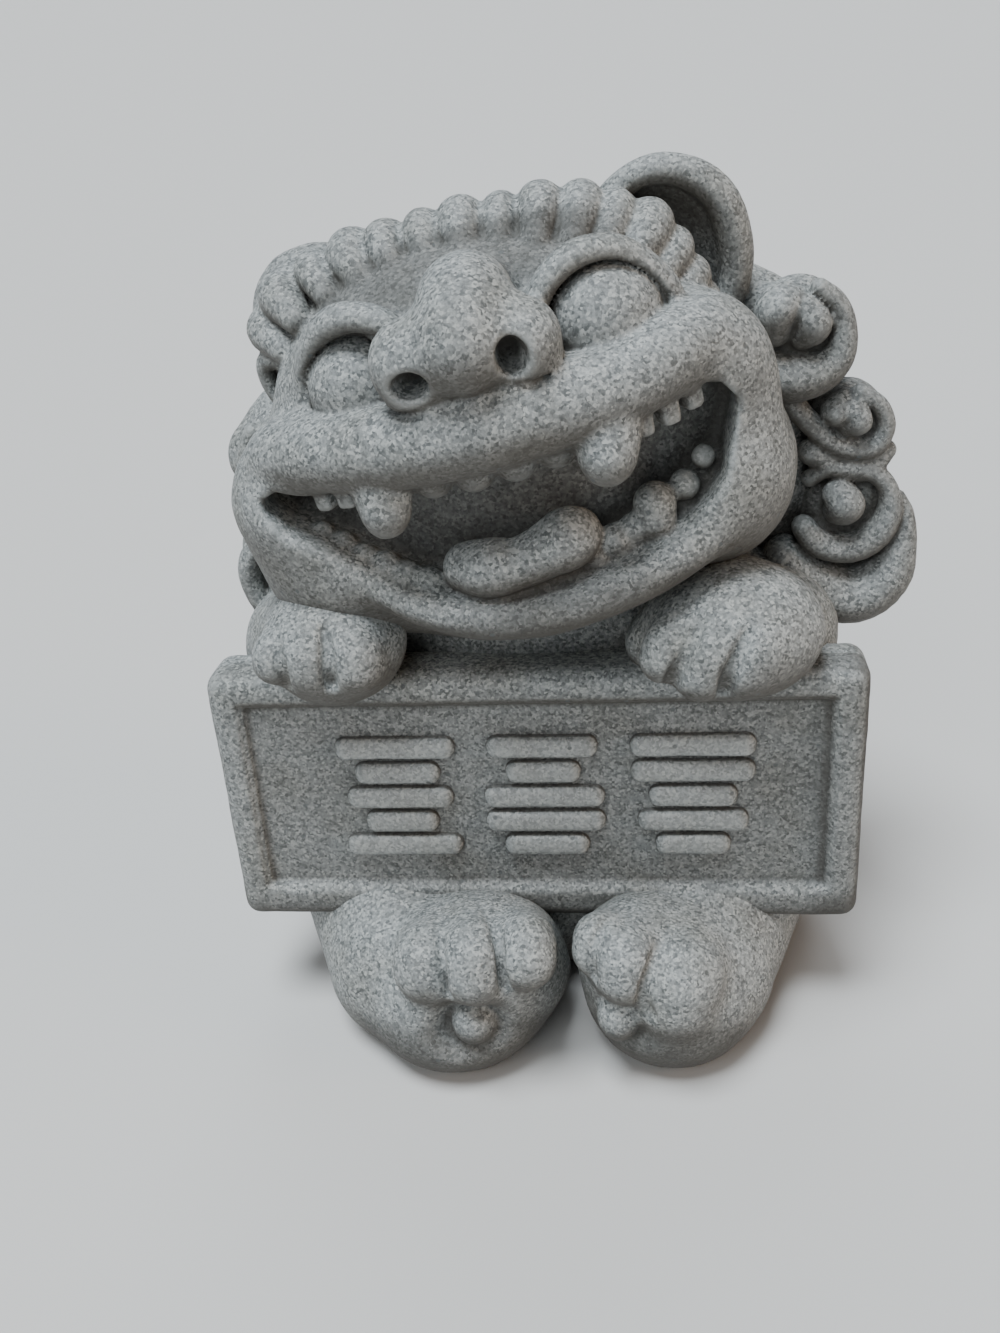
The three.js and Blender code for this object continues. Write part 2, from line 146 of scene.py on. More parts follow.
# A carving is a block of distances on a grid. Forms are joined to it and cut from it with soft fillets.
class Carving:
    far = 12.0
    margin = 3.0  # a form is worked out this far beyond its box

    def __init__(self, name, place, low, high, step):
        self.name, self.place, self.step = name, place, step
        self.low = np.array(low, float)
        self.count = np.ceil((np.array(high) - self.low) / step).astype(int) + 1
        self.field = np.full(self.count, self.far, np.float32)

    def window(self, low, high):
        first = np.clip(np.floor((low - self.low) / self.step).astype(int), 0, self.count - 1)
        last = np.clip(np.ceil((high - self.low) / self.step).astype(int) + 1, first + 1, self.count)
        return first, last

    def axes(self, first, last):
        x, y, z = [(self.low[k] + self.step * np.arange(first[k], last[k])) for k in range(3)]
        x, y, z = x.astype(np.float32), y.astype(np.float32), z.astype(np.float32)
        return x[:, None, None], y[None, :, None], z[None, None, :]

    def nearest(self, forms, reach):
        low = np.min([form.low for form in forms], 0) - reach
        high = np.max([form.high for form in forms], 0) + reach
        first, last = self.window(low, high)
        near = np.full(last - first, self.far, np.float32)
        for form in forms:
            a, b = self.window(form.low - reach, form.high + reach)
            part = tuple(slice(i - f, j - f) for i, j, f in zip(a, b, first))
            near[part] = np.minimum(near[part], form.distance(*self.axes(a, b)))
        return tuple(slice(i, j) for i, j in zip(first, last)), near

    def add(self, forms, blend):
        part, near = self.nearest(forms, self.margin + blend)
        field = self.field[part]
        soft = np.maximum(blend - np.abs(field - near), 0)
        self.field[part] = np.minimum(field, near) - soft ** 2 / (4 * blend)

    def cut(self, forms, blend):
        part, near = self.nearest(forms, self.margin + blend)
        field = self.field[part]
        soft = np.maximum(blend - np.abs(field + near), 0)
        self.field[part] = np.maximum(field, -near) + soft ** 2 / (4 * blend)

    # Air that the outside doesn't reach is a pocket that the blends leave inside the stone
    def fillPockets(self):
        air = self.field > 0
        reached = air.copy()
        reached[1:-1, 1:-1, 1:-1] = False
        before = 0
        while before != reached.sum():
            before = reached.sum()
            for axis in range(3):
                free, found = np.moveaxis(air, axis, 0), np.moveaxis(reached, axis, 0)
                for i in range(1, len(free)):
                    found[i] |= found[i - 1] & free[i]
                for i in range(len(free) - 2, -1, -1):
                    found[i] |= found[i + 1] & free[i]
        self.field[air & ~reached] = -self.step

    # Where the surface crosses a cell it gets one point, at the mean of the crossings of its edges
    def surface(self):
        field, cells = self.field, self.count - 1
        solid = field < 0
        total = sum(
            solid[i:i + cells[0], j:j + cells[1], k:k + cells[2]].astype(np.int8)
            for i in (0, 1) for j in (0, 1) for k in (0, 1)
        )
        where = np.argwhere((total > 0) & (total < 8))
        index = np.full(cells, -1, np.int64)
        index[tuple(where.T)] = np.arange(len(where))
        sums, crossings = np.zeros((len(where), 3)), np.zeros(len(where))
        quads = []
        for axis in range(3):
            one, two = [k for k in range(3) if k != axis]
            for i in (0, 1):
                for j in (0, 1):
                    offset = np.zeros(3, int)
                    offset[one], offset[two] = i, j
                    start = where + offset
                    end = start + np.eye(3, dtype=int)[axis]
                    f0, f1 = field[tuple(start.T)], field[tuple(end.T)]
                    cross = (f0 < 0) != (f1 < 0)
                    point = start.astype(float)
                    point[:, axis] += np.where(cross, f0 / np.where(cross, f0 - f1, 1), 0)
                    sums[cross] += point[cross]
                    crossings[cross] += 1
            first = np.ones(3, int)
            first[axis] = 0
            base = solid[tuple(slice(f, c) for f, c in zip(first, cells))]
            beyond = [slice(f, c) for f, c in zip(first, cells)]
            beyond[axis] = slice(1, cells[axis] + 1)
            corner = np.argwhere(base != solid[tuple(beyond)]) + first
            ring = []
            for i, j in ((0, 0), (1, 0), (1, 1), (0, 1)):
                cell = corner.copy()
                cell[:, one] -= i
                cell[:, two] -= j
                ring.append(index[tuple(cell.T)])
            ring = np.stack(ring, 1)
            outward = solid[tuple(corner.T)] if axis != 1 else ~solid[tuple(corner.T)]
            ring[~outward] = ring[~outward][:, ::-1]
            quads.append(ring)
        points = sums / crossings[:, None] * self.step + self.low
        return points, np.vstack(quads)


def sample(values, low, step, points, outside):
    at = (points - low) / step
    top = np.array(values.shape) - 1
    within = np.all((at >= 0) & (at <= top), axis=1)
    base = np.clip(np.floor(at).astype(int), 0, top - 1)
    part = at - base
    out = np.zeros(len(points))
    for i in (0, 1):
        for j in (0, 1):
            for k in (0, 1):
                share = np.prod(np.where([i, j, k], part, 1 - part), axis=1)
                out += share * values[base[:, 0] + i, base[:, 1] + j, base[:, 2] + k]
    return np.where(within, out, outside)


# Body: seated, with belly, thighs and arms, and a chest that slopes from the chin to the board.
# A ball is its centre and radii, a rope its points of x, y, z and thickness. Side -1 is the viewer's left.
body = dict(
    torso=[((0, 8, 30), (29, 22, 34)), ((0, 6, 12), (35, 24, 19)), ((0, 1, 52), (25, 10, 12))],
    chest=((0.5, 7.6, 57), (28, 16.4, 18)), fillet=((16.8, -11.6, 54), (4.6, 4, 4.4)),
    hip=(24.5, -2, 11, 14.4), knees={-1: (-19, -20.4, 8, 11.6), 1: (20.6, -21, 8.4, 10.8)},
    arm=[(29, 6, 48, 10.5), (30.5, -3, 50, 9), (25, -11, 56, 8)],
    low=(-47, -40, -2.5), high=(47, 37, 80), step=0.52,
)
tail = dict(
    base=((0, 26, 20), (10.5, 7, 19)),
    locks=[
        [(0, 28, 4, 5), (5, 31, 14, 5.6), (-3, 31.5, 26, 5.4), (4, 30, 37, 4.4), (-1, 27, 46, 2)],
        [(-6, 28, 8, 4), (-11, 29.5, 17, 3.8), (-7, 30, 27, 1.8)],
        [(7, 28.5, 19, 4), (12, 28.5, 27, 3.6), (8, 27.5, 36, 1.8)],
    ],
)
feet = {
    -1: dict(
        parts=[  # centre, radii, roll
            ((-9.8, -24, 9.8), (13.4, 11.2, 9.6), 6), ((-12, -26.8, 6.8), (11.8, 10.2, 8.8), 0),
            ((-7.9, -26.2, 14.8), (10.4, 9.4, 7.4), 0),
        ],
        hollow=((-8.8, -37.4, 11.6), (5.8, 4.6, 4.8)), pad=((-8.4, -33.8, 10.5), (3, 3, 3)),
        toes=[
            [(-13.6, -24, 14.6, 4.6), (-14.3, -30.2, 18.6, 4.3), (-14.4, -31.8, 17.6, 4.1)],
            [(-7.8, -24, 15.2, 4.8), (-7.9, -31.2, 19.8, 4.5), (-7.9, -33, 18.4, 4.2)],
            [(-2.4, -24, 15.4, 4.2), (-1.4, -30, 20.4, 4.1), (-1.1, -32, 19.8, 3.9)],
        ],
        grooves=[
            [(-12, -30.6, 22.8, 0.4), (-11.6, -32.9, 21.8, 0.65), (-11.3, -34.6, 20, 0.75),
             (-10.7, -35.1, 17, 0.8)],
            [(-7.2, -25.2, 22.8, 0.4), (-5.9, -28, 23.2, 0.6), (-4.8, -31, 23.4, 0.7),
             (-4.2, -33.1, 22.2, 0.75), (-3.9, -34.4, 19.8, 0.8), (-3.7, -34.8, 17.4, 0.8)],
        ],
    ),
    1: dict(
        parts=[
            ((16, -24, 9.6), (10.8, 11.2, 10), -20), ((17.3, -26, 7.2), (10.6, 9.4, 9.2), -6),
            ((13.4, -26, 14.4), (8.2, 9, 7.4), -14),
        ],
        hollow=((10.6, -37, 11.8), (4.6, 5, 5.2)), pad=((10.4, -33, 10.9), (2.8, 3, 3.4)),
        toes=[
            [(9.4, -24, 15.8, 3.6), (8.2, -28.8, 20.4, 3.4), (7.9, -30.2, 19.6, 3.3)],
            [(12.6, -24, 15.8, 4.4), (11.7, -31, 19.4, 4.1), (11.4, -32.4, 17.8, 3.9)],
            [(19, -25, 13.6, 6), (18.2, -30, 15.4, 5.9), (17.6, -31.4, 13.2, 5.5)],
        ],
        grooves=[
            [(9.3, -28.5, 23.9, 0.4), (8.5, -30.6, 23.7, 0.6), (7.8, -32, 22.8, 0.7), (7.2, -32.9, 21, 0.75),
             (7.4, -33.4, 18, 0.75)],
            [(16.3, -30, 21.7, 0.5), (15.4, -32.1, 21.4, 0.7), (14.6, -33.9, 20.6, 0.8),
             (13.9, -35, 18.8, 0.9), (13.6, -35.5, 16.4, 0.9), (14.2, -35.8, 14, 1)],
        ],
    ),
}
paws = {
    -1: dict(
        back=((-24, -14.2, 57), (9, 9, 8)),
        toes=[
            [(-29, -16.5, 58.5, 2.7), (-30.4, -19, 58.2, 2.7), (-30.5, -19.4, 57, 2.7)],
            [(-25.2, -17, 59, 3.1), (-26, -19.8, 58.6, 3.1), (-26.1, -20.2, 56.8, 3.1)],
            [(-20.4, -17, 59, 3.5), (-20.2, -19.6, 58.6, 3.6), (-20.2, -20.2, 57, 3.6)],
        ],
        grooves=[
            [(-29.3, -20.9, 60.3, 0.5), (-29, -22, 58.7, 0.75), (-28.8, -22.3, 56.8, 0.85),
             (-28.9, -21.5, 54.4, 0.9)],
            [(-23.3, -20.3, 62.3, 0.5), (-22.9, -21.8, 60.7, 0.8), (-22.9, -22.8, 58.9, 0.9),
             (-22.9, -23, 57, 0.95), (-23, -22.6, 55.8, 0.9)],
        ],
    ),
    1: dict(
        back=((25.3, -13.6, 57), (10.9, 9.8, 8.4)),
        toes=[
            [(19.6, -16.5, 59.4, 3.3), (17.8, -19.2, 58.4, 3.3), (17.1, -19.8, 56.8, 3.2)],
            [(24.2, -17, 59.6, 3.7), (22.2, -19.9, 58.4, 3.7), (21.2, -20.6, 55.4, 3.6)],
            [(28.6, -16.5, 59.2, 4), (27.2, -19.4, 58.2, 4), (26.2, -20.2, 56, 3.8)],
        ],
        grooves=[
            [(21.3, -20.6, 62.4, 0.5), (20.2, -22.1, 60.7, 0.85), (19, -23, 58.5, 0.95),
             (18.1, -22.9, 56.4, 1), (17.4, -21.9, 54, 1)],
            [(26.3, -21.9, 61.5, 0.5), (25.5, -23, 59.7, 0.85), (24.8, -23.5, 58, 0.95),
             (24.1, -23.5, 56, 1), (23.7, -22.6, 53.4, 1)],
        ],
    ),
}


def carveToes(stone, foot, blend):
    for toe in foot["toes"]:
        stone.add(rope(toe, count=6), blend)
    for groove in foot["grooves"]:
        stone.cut(rope(groove, count=8), blend=0.6)


# The body, with its feet and paws, is cut off flat at the ground
def carveBody():
    stone = Carving("lion_body", ground, body["low"], body["high"], body["step"])
    for centre, radii in body["torso"]:
        stone.add(ball(centre, radii), blend=4)
    stone.add(ball(*body["chest"]), blend=3)
    stone.add(ball(*body["fillet"]), blend=3)
    for side in sides:
        stone.add(rope([(side * body["hip"][0], *body["hip"][1:]), body["knees"][side]]), blend=4)
        stone.add(rope(toSide(side, body["arm"]), count=6), blend=4)
    stone.add(ball(*tail["base"]), blend=3)
    for lock in tail["locks"]:
        stone.add(rope(lock, count=14), blend=0.8)
    for foot in feet.values():
        for centre, radii, roll in foot["parts"]:
            stone.add(ball(centre, radii, roll=roll), blend=2.5)
        stone.cut(ball(*foot["hollow"]), blend=2)
        stone.add(ball(*foot["pad"]), blend=0.6)
        carveToes(stone, foot, blend=1.6)
    for paw in paws.values():
        stone.add(ball(*paw["back"]), blend=2)
        carveToes(stone, paw, blend=1.2)
    _, _, z = stone.axes(np.zeros(3, int), stone.count)
    stone.field = np.maximum(stone.field, -z)
    return stone


# Board: raised border round a sunk panel, with a small bevel along the panel's edge
def carveBoard():
    width, height, thick, air = board["width"], board["height"], board["thick"], Carving.margin
    low = (-width / 2 - air, -air, -air)
    high = (width / 2 + air, thick + air, height + air)
    stone = Carving("board", boardPlace, low, high, board["step"])
    half = (width / 2, thick / 2, height / 2)
    stone.add(slab((0, thick / 2, height / 2), half, board["corner"]), blend=1)
    halfWide = width / 2 - board["border"]
    halfHigh = (height - board["border"] - board["lowBorder"]) / 2
    middle = (0, 0, board["lowBorder"] + halfHigh)
    bevel = board["bevel"]
    stone.cut(slab(middle, (halfWide, board["recess"], halfHigh), edge=0.4), blend=0.3)
    stone.cut(slab(middle, (halfWide + bevel, bevel, halfHigh + bevel), edge=0.3), blend=0.4)
    return stone


# Head: skull, brow, jaw and cheeks, then the grin, and the face above it. The original isn't quite even.
skull = dict(
    parts=[
        ((0, 6.5, -4), (32, 22, 21.5)), ((-5, -2, 4.5), (23, 16, 18.4)), ((4, -2, 4), (20.5, 15, 17.6)),
        ((0, -4, -9), (25, 16.5, 9.5)), ((23, -7, 3), (8.5, 10, 8.6)), ((21.3, -6, -9), (11.4, 12.5, 12.3)),
        ((-24, -7, -1), (11, 11, 9.5)), ((-22, -6, -9), (12.5, 12.5, 12)), ((26, 7.5, -15), (10, 6, 17)),
        ((-26, 7.5, -15), (9, 6, 17)), ((0, -2, -17), (24, 15, 9.5)),
    ],
    low=(-40, -36, -35), high=(40, 34, 32), step=0.42,
)
lips = dict(
    ring=[
        (0, -20.8, 7.2, 4.7), (8, -20, 7.2, 4.6), (15, -18, 7.2, 4.2), (20.2, -14.8, 7.9, 4.4),
        (24.4, -11.2, 7, 4.5), (27.5, -9, 2.6, 3.8), (27.6, -9, -3.2, 3.7), (25.4, -11.6, -9.2, 3.5),
        (21, -15, -12.8, 3.3), (14, -18.6, -14.9, 3), (7, -20.8, -15.8, 2.8), (0, -21.6, -16.1, 2.6),
        (-7, -20.8, -15.2, 2.6), (-13, -18.8, -13.2, 2.6), (-18.4, -16, -10.1, 2.6),
        (-22.8, -13.2, -6.6, 2.8), (-26.8, -10, -2.8, 3.2), (-29, -8.2, 2, 3.4), (-25.8, -10.8, 6, 3.8),
        (-20, -15, 6.6, 4.2), (-14, -18, 6.6, 4.3), (-7, -20.2, 6.8, 4.5),
    ],
    deeper=1.15, blend=1.8,
)
mouth = dict(
    edges=[  # x, upper edge, lower edge
        (-28.6, 2.6, 1.4), (-26.6, 3.4, -1.4), (-23.1, 2.4, -3.8), (-20, 2.1, -6.2), (-16, 2.1, -9.2),
        (-11, 1.9, -11.3), (-6, 1.9, -12.9), (0, 2.2, -13.4), (7, 2.8, -12.9), (13, 2.9, -12.2),
        (18.5, 3, -10.8), (21.4, 3.2, -9), (23.6, 4.2, -6.8), (25.2, 3.6, -3), (26.4, 1.6, 0.2),
    ],
    floor=-14.5, bow=0.01, round=3.0, low=(-31, -40, -16), high=(31, 0, 8),
    slope=0.9,  # makes up for the tilt of the edges
)
tongue = [
    (-7, -17.8, -10.2, 3.1), (-4.2, -19.4, -10.1, 3.5), (-0.9, -19.8, -10.1, 3), (2.4, -19.6, -9.4, 3.2),
    (5, -19, -8.8, 3.6), (6.2, -17.4, -9, 2.8),
]
teeth = dict(
    fangs=[
        [(12.5, -20.4, 3.4, 3.7), (11.9, -22.2, 1.2, 3.2), (11.6, -22.6, 0.3, 2.3)],
        [(-13.3, -19.6, 2.8, 3.5), (-13.4, -21, 0.4, 2.9), (-13.8, -21.2, -0.6, 2.1)],
    ],
    lumps=[  # x, y, z, radius
        (15.4, -16.2, -8.2, 2.5), (15.2, -16.6, -10, 2.3), (19.1, -14.8, -7.4, 1.8),
        (21.8, -13.4, -5.2, 1.4), (10.2, -17, -11.2, 2), (7.4, -17.6, -12.2, 1.8), (12.6, -16.4, -10.6, 1.9),
        (-12.2, -17.4, -11.3, 2), (-14.6, -16.6, -10, 1.8), (-17, -15.6, -8.6, 1.8),
        (-19.3, -14.8, -7.2, 1.6), (-21.6, -13.6, -5.5, 1.6), (-23.8, -12.6, -3.8, 1.3),
        (-7.6, -19, 2.3, 2.5), (-2.8, -19.5, 2.1, 2.5), (1.9, -19.7, 2.3, 2.5), (6.6, -19.5, 2.6, 2.5),
    ],
    gums=[
        [(5, -16.5, -14.5, 2.4), (12, -15.4, -13, 2.6), (18, -12.8, -10.8, 2.4), (22.6, -10.8, -7.4, 1.8)],
        [(-9, -16.6, -13.8, 2.2), (-14.6, -14.8, -11.6, 2.2), (-20, -12.2, -8, 2),
         (-24.8, -10.2, -4.4, 1.6)],
    ],
    bed=((-1, -16.2, -15.4), (12, 5, 4.4)),
    blocks=[  # x, y, z, half width, turn
        (16, -18, 2.2, 1.15, 18), (18.9, -16.4, 2.2, 1.15, 25), (21.6, -14.6, 2.8, 1.1, 30),
        (-18.2, -16, 1.4, 1.2, -22), (-21.2, -14.4, 1.1, 1.1, -28),
    ],
    deep=1.5, tall=1.4,
)
nose = dict(
    ridge=[(1, -12, 18.2, 4.8), (1, -16.5, 19.2, 5.1), (0.8, -20, 18.2, 5), (0.1, -22.4, 16.6, 5)],
    wings=[((6.2, -20, 14.9), (4, 5.4, 4.3)), ((-6, -20, 15.2), (4.2, 5.4, 4.9))],
    nostrils=[((5.3, -25.2, 14.8), (1.7, 4.6, 2.1)), ((-5.9, -25.2, 14.4), (2.1, 4.6, 1.6))], flare=10,
    crease=[
        (10.8, -18.6, 12.2, 0.5), (7.4, -23.2, 11.1, 0.6), (2.5, -26.2, 11.7, 0.5),
        (-2.5, -26.2, 11.6, 0.5), (-7.2, -23.2, 10.9, 0.6), (-10.6, -18.6, 11.6, 0.5),
    ],
)
eyes = dict(
    mound=[((14.3, -4.5, 11.6), (8, 8.6, 6.8)), ((-13.6, -4.5, 11.8), (7.2, 8.6, 7))],
    lid=[
        [(6.4, -14, 12.6, 1.3), (7.3, -14, 15.2, 1.4), (8.9, -13.6, 17.8, 1.5), (11.6, -12.8, 19.6, 1.6),
         (14.4, -12, 20, 1.6), (17.4, -11, 19, 1.6), (19.9, -10.2, 16.4, 1.6), (21.6, -9.8, 13.6, 1.5),
         (22.2, -9.6, 10.6, 1.3)],
        [(-6.9, -14, 16.4, 1.3), (-8.4, -13.8, 18.4, 1.5), (-10.8, -13, 19.6, 1.6), (-13.6, -12, 19.8, 1.7),
         (-16.4, -11, 18.6, 1.7), (-18.8, -10, 16, 1.6), (-20.2, -9.4, 12.8, 1.5), (-20.6, -9.2, 10.6, 1.3)],
    ],
    deeper=1.5, groove=0.5, grooveFloor=1.9,
    ball=[((14.3, -11.6, 12.1), 6.4), ((-14, -11.4, 11.6), 5.7)],
)
fringe = dict(
    crest=[
        (-25.8, 2, 17.6), (-22.6, 1.5, 21.2), (-17.8, 1, 23), (-13, 1, 23.6), (-8.6, 0.5, 23.9),
        (-4, 0.5, 24), (0.6, 0.5, 23.8), (5.2, 0.5, 23.6), (9.8, 0.5, 23.2), (14.2, 1, 22), (18, 1, 20.4),
        (21.2, 1, 17.9), (23.4, 1, 14.6), (24.5, 1, 11), (24.9, 1, 7.5),
    ],
    tip=2.85, swell=0.35, beat=2.4, taper=(0.62, 0.92, 0.85), reach=5.2, drop=3.0, backIn=3, backDeep=6.5,
)
ears = dict(
    dish=[((22, 10, 13), (9.6, 5, 10.4)), ((-20.4, 10, 14), (9.4, 5, 10.4))],
    hollow=[((21.6, 4.6, 12.8), (7, 5, 8)), ((-20, 4.6, 13.6), (6.6, 5, 8))],
    rim=[
        [(15.6, 6.5, 19.6, 1.5), (19.4, 6.2, 22, 1.6), (23.4, 6, 22.6, 1.7), (27.2, 6, 20.9, 1.9),
         (29.8, 6, 17.6, 2.1), (30.6, 6, 13, 2.1), (30, 6, 8.4, 2), (28, 6, 4.6, 1.8)],
        [(-14.4, 6.5, 21.4, 1.5), (-18, 6.2, 23.2, 1.6), (-22, 6, 23, 1.8), (-25, 6, 20.8, 1.9),
         (-26.6, 6, 17.4, 2), (-27, 6, 13, 2), (-26.4, 6, 9, 1.9)],
    ],
    filling=((-20.4, 2.6, 17.4), (6.6, 4.4, 6.4)),
    hook=[(-22.8, 0, 12.8, 1.4), (-25.4, 0.4, 14.3, 1.5), (-27.2, 1, 13.9, 1.3), (-27.7, 1, 12.2, 1.1),
          (-27.5, 1, 10.4, 1.1), (-26.6, 1, 8.8, 1.4)],
    drop=((-26.2, 1, 8.2), (1.9, 2.2, 1.7)),
)


# The opening between the lips' edges, with a floor that bows back towards the cheeks
def mouthHollow():
    across, upper, lower = np.array(mouth["edges"]).T

    def distance(x, y, z):
        top, low = np.interp(x, across, upper), np.interp(x, across, lower)
        inOpening = mouth["slope"] * (np.abs(z - (top + low) / 2) - (top - low) / 2)
        inOpening = np.maximum(inOpening, np.maximum(across[0] - x, x - across[-1]))
        inDepth = y - (mouth["floor"] + mouth["bow"] * x * x)
        soft = np.maximum(mouth["round"] - np.abs(inOpening - inDepth), 0)
        return np.maximum(inOpening, inDepth) + soft ** 2 / (4 * mouth["round"])
    return [Form(mouth["low"], mouth["high"], distance)]


def carveMouth(stone):
    stone.add(rope(lips["ring"], count=140, closed=True, deeper=lips["deeper"]), lips["blend"])
    stone.cut(mouthHollow(), blend=1.4)
    for gum in teeth["gums"]:
        stone.add(rope(gum, count=10), blend=1)
    stone.add(ball(*teeth["bed"]), blend=1)
    stone.add(rope(tongue, count=18), blend=0.6)
    for fang in teeth["fangs"]:
        stone.add(rope(fang, count=6), blend=0.6)
    for x, y, z, radius in teeth["lumps"]:
        stone.add(ball((x, y, z), (radius, radius, radius)), blend=0.7)
    for x, y, z, wide, yaw in teeth["blocks"]:
        stone.add(slab((x, y, z), (wide, teeth["deep"], teeth["tall"]), edge=0.6, yaw=yaw), blend=0.4)


def carveNose(stone):
    stone.add(rope(nose["ridge"], count=12), blend=1.6)
    for wing in nose["wings"]:
        stone.add(ball(*wing), blend=2.6)
    stone.cut(rope(nose["crease"], count=20), blend=0.7)
    for side, (centre, radii) in zip(sides, nose["nostrils"][::-1]):
        stone.cut(ball(centre, radii, yaw=side * nose["flare"]), blend=0.7)


# A groove runs round each eyeball, inside its lid
def carveEyes(stone):
    for mound, lid, (centre, radius) in zip(eyes["mound"], eyes["lid"], eyes["ball"]):
        stone.add(ball(*mound), blend=1.6)
        stone.add(rope(lid, count=24, deeper=eyes["deeper"]), blend=0.9)
        wide = radius + eyes["groove"]
        stone.cut(ball(centre, (wide, wide, wide)), blend=0.7)
        x, y, z = centre
        stone.add(ball((x, y + eyes["grooveFloor"], z), (wide, wide, wide)), blend=0.5)
        stone.add(ball(centre, (radius, radius, radius)), blend=0.3)


# The upper lip is added once more, over what the nose and the eyes took from it
def carveUpperLip(stone):
    right, left = lips["ring"][:4], lips["ring"][-4:] + lips["ring"][:1]
    for half in (right, left):
        stone.add(rope(half, count=20, deeper=lips["deeper"]), blend=0.8)


# Each lock of the fringe swells at the crest, turns back into the head, and fades on the brow
def carveFringe(stone):
    for i, crest in enumerate(np.array(fringe["crest"], float)):
        out = crest * [1, 0, 1] / math.hypot(crest[0], crest[2])
        root = crest - fringe["drop"] * out + [0, -fringe["reach"], 0]
        back = crest - fringe["backIn"] * out + [0, fringe["backDeep"], 0]
        tip = fringe["tip"] + fringe["swell"] * math.sin(fringe["beat"] * i)
        path = [(*point, share * tip) for point, share in zip((root, crest, back), fringe["taper"])]
        stone.add(rope(path, count=11), blend=0.5)


def carveEars(stone):
    for dish, hollow, rim in zip(ears["dish"], ears["hollow"], ears["rim"]):
        stone.add(ball(*dish), blend=1.5)
        stone.cut(ball(*hollow), blend=1)
        stone.add(rope(rim, count=22, deeper=1.3), blend=0.8)
    stone.add(ball(*ears["filling"]), blend=1.6)
    stone.add(rope(ears["hook"], count=20, deeper=1.5), blend=0.4)
    stone.add(ball(*ears["drop"]), blend=0.5)


def carveHead():
    stone = Carving("lion_head", headPlace, skull["low"], skull["high"], skull["step"])
    for centre, radii in skull["parts"]:
        stone.add(ball(centre, radii), blend=3.5)
    carveMouth(stone)
    carveNose(stone)
    carveEyes(stone)
    carveUpperLip(stone)
    carveEars(stone)
    carveFringe(stone)
    return stone


# Side mane: three curls down each side of the face. Each is a cushion with bands wound round its bud.
# On the left the middle curl is a plainer one, and leftIn brings a curl nearer to the face.
curls = dict(
    top=dict(
        leftIn=0.84,
        bands=[
            [(38.9, 2, 5.6, 1.1), (40.7, 2, 3.2, 1.3), (41, 2, 0, 1.6), (39.8, 2, -3, 2.1),
             (37.2, 2, -4.4, 2.7), (33.6, 2, -4.2, 2.9), (30.4, 3, -2, 2.6)],
            [(36, 2.5, 5, 1.7), (34, 2, 4.6, 2.6), (33, 2.5, 2.2, 2.4)],
        ],
        buds=[[(36.9, 1, 3.6, 1.8), (37.6, 0.6, 1.8, 2.1), (36.2, 1.6, 0.4, 1.6)]],
        cushion=((36.2, 5.5, 0.2), (5.6, 4, 6.6)),
    ),
    middle=dict(
        left=dict(
            leftIn=1,
            bands=[
                [(36, 2, -8.4, 1.4), (38.6, 2, -10.2, 1.5), (40.1, 2, -12.4, 1.6), (40.6, 2, -15, 1.6),
                 (40.2, 2, -17.6, 1.7), (39, 2, -20.2, 1.9), (36.4, 2.4, -22.4, 2)],
            ],
            buds=[[(37, 1.6, -15.8, 1.5), (37, 1, -17.2, 1.7), (36, 1.6, -18.2, 1.4)]],
            cushion=((36.4, 5.5, -15), (4.2, 4, 7)),
        ),
        bands=[
            [(42, 2, -8.3, 1), (44, 2, -10.6, 1.1), (44.4, 2, -13.6, 1.2), (42.6, 2, -15.6, 1.4),
             (39.8, 2, -15.2, 1.4), (37.2, 2, -13.4, 1.4), (35.4, 2, -10.6, 1.4), (33.4, 3, -7.4, 1.6)],
            [(44.4, 3, -17, 1.2), (41.6, 2.6, -18.4, 1.7), (38.2, 2.6, -17.6, 1.7), (35.2, 2.6, -14.8, 1.7)],
            [(40, 2.5, -8.6, 1.3), (38.8, 2, -10, 1.9)],
        ],
        buds=[[(40.8, 1.2, -10, 1.5), (41.2, 0.8, -11.6, 1.6), (40, 1.6, -12, 1.4)]],
        cushion=((40.2, 5.5, -13), (5, 4, 5.6)),
    ),
    low=dict(
        leftIn=0.91,
        bands=[
            [(32.6, 1, -24.2, 1.6), (34, 0.8, -26.8, 1.8), (37.6, 0.6, -28.3, 1.9), (41.2, 0.8, -27.4, 1.9),
             (43.4, 1, -24.6, 1.6), (43.6, 1.4, -21.4, 1.3), (42, 1.6, -18.9, 1.2), (39.2, 1.8, -17.6, 1.2),
             (36.6, 2, -17.2, 1.2), (34.4, 2.6, -18.4, 1.1)],
            [(29.5, 2, -28, 2.6), (32.4, 2, -32.6, 3.6), (37, 2, -35.6, 4), (41.6, 2, -34, 3.6),
             (44.2, 2, -30, 2.3), (45.4, 2, -26, 1.2), (45, 2.4, -23.6, 0.9)],
        ],
        buds=[[(37.4, 0.6, -20.6, 2.1), (38, 0.2, -22, 2.5), (37.2, 1, -22.8, 2)]],
        cushion=((38.6, 5.5, -26), (6.4, 4, 9)),
    ),
)
mane = dict(
    strands=[
        [(18, 15, 5, 5), (28, 12, 3.5, 5.6), (34.5, 9, 0, 5)],
        [(20, 16, -7, 5.5), (31, 13, -10, 5.6), (38, 9, -13, 4.6)],
        [(22, 15, -19, 6), (30, 13, -22, 6), (36, 9, -26, 5.6)],
    ],
    across=(10, 53), deep=(-6, 25), tall=(-44, 11), step=0.4,
)


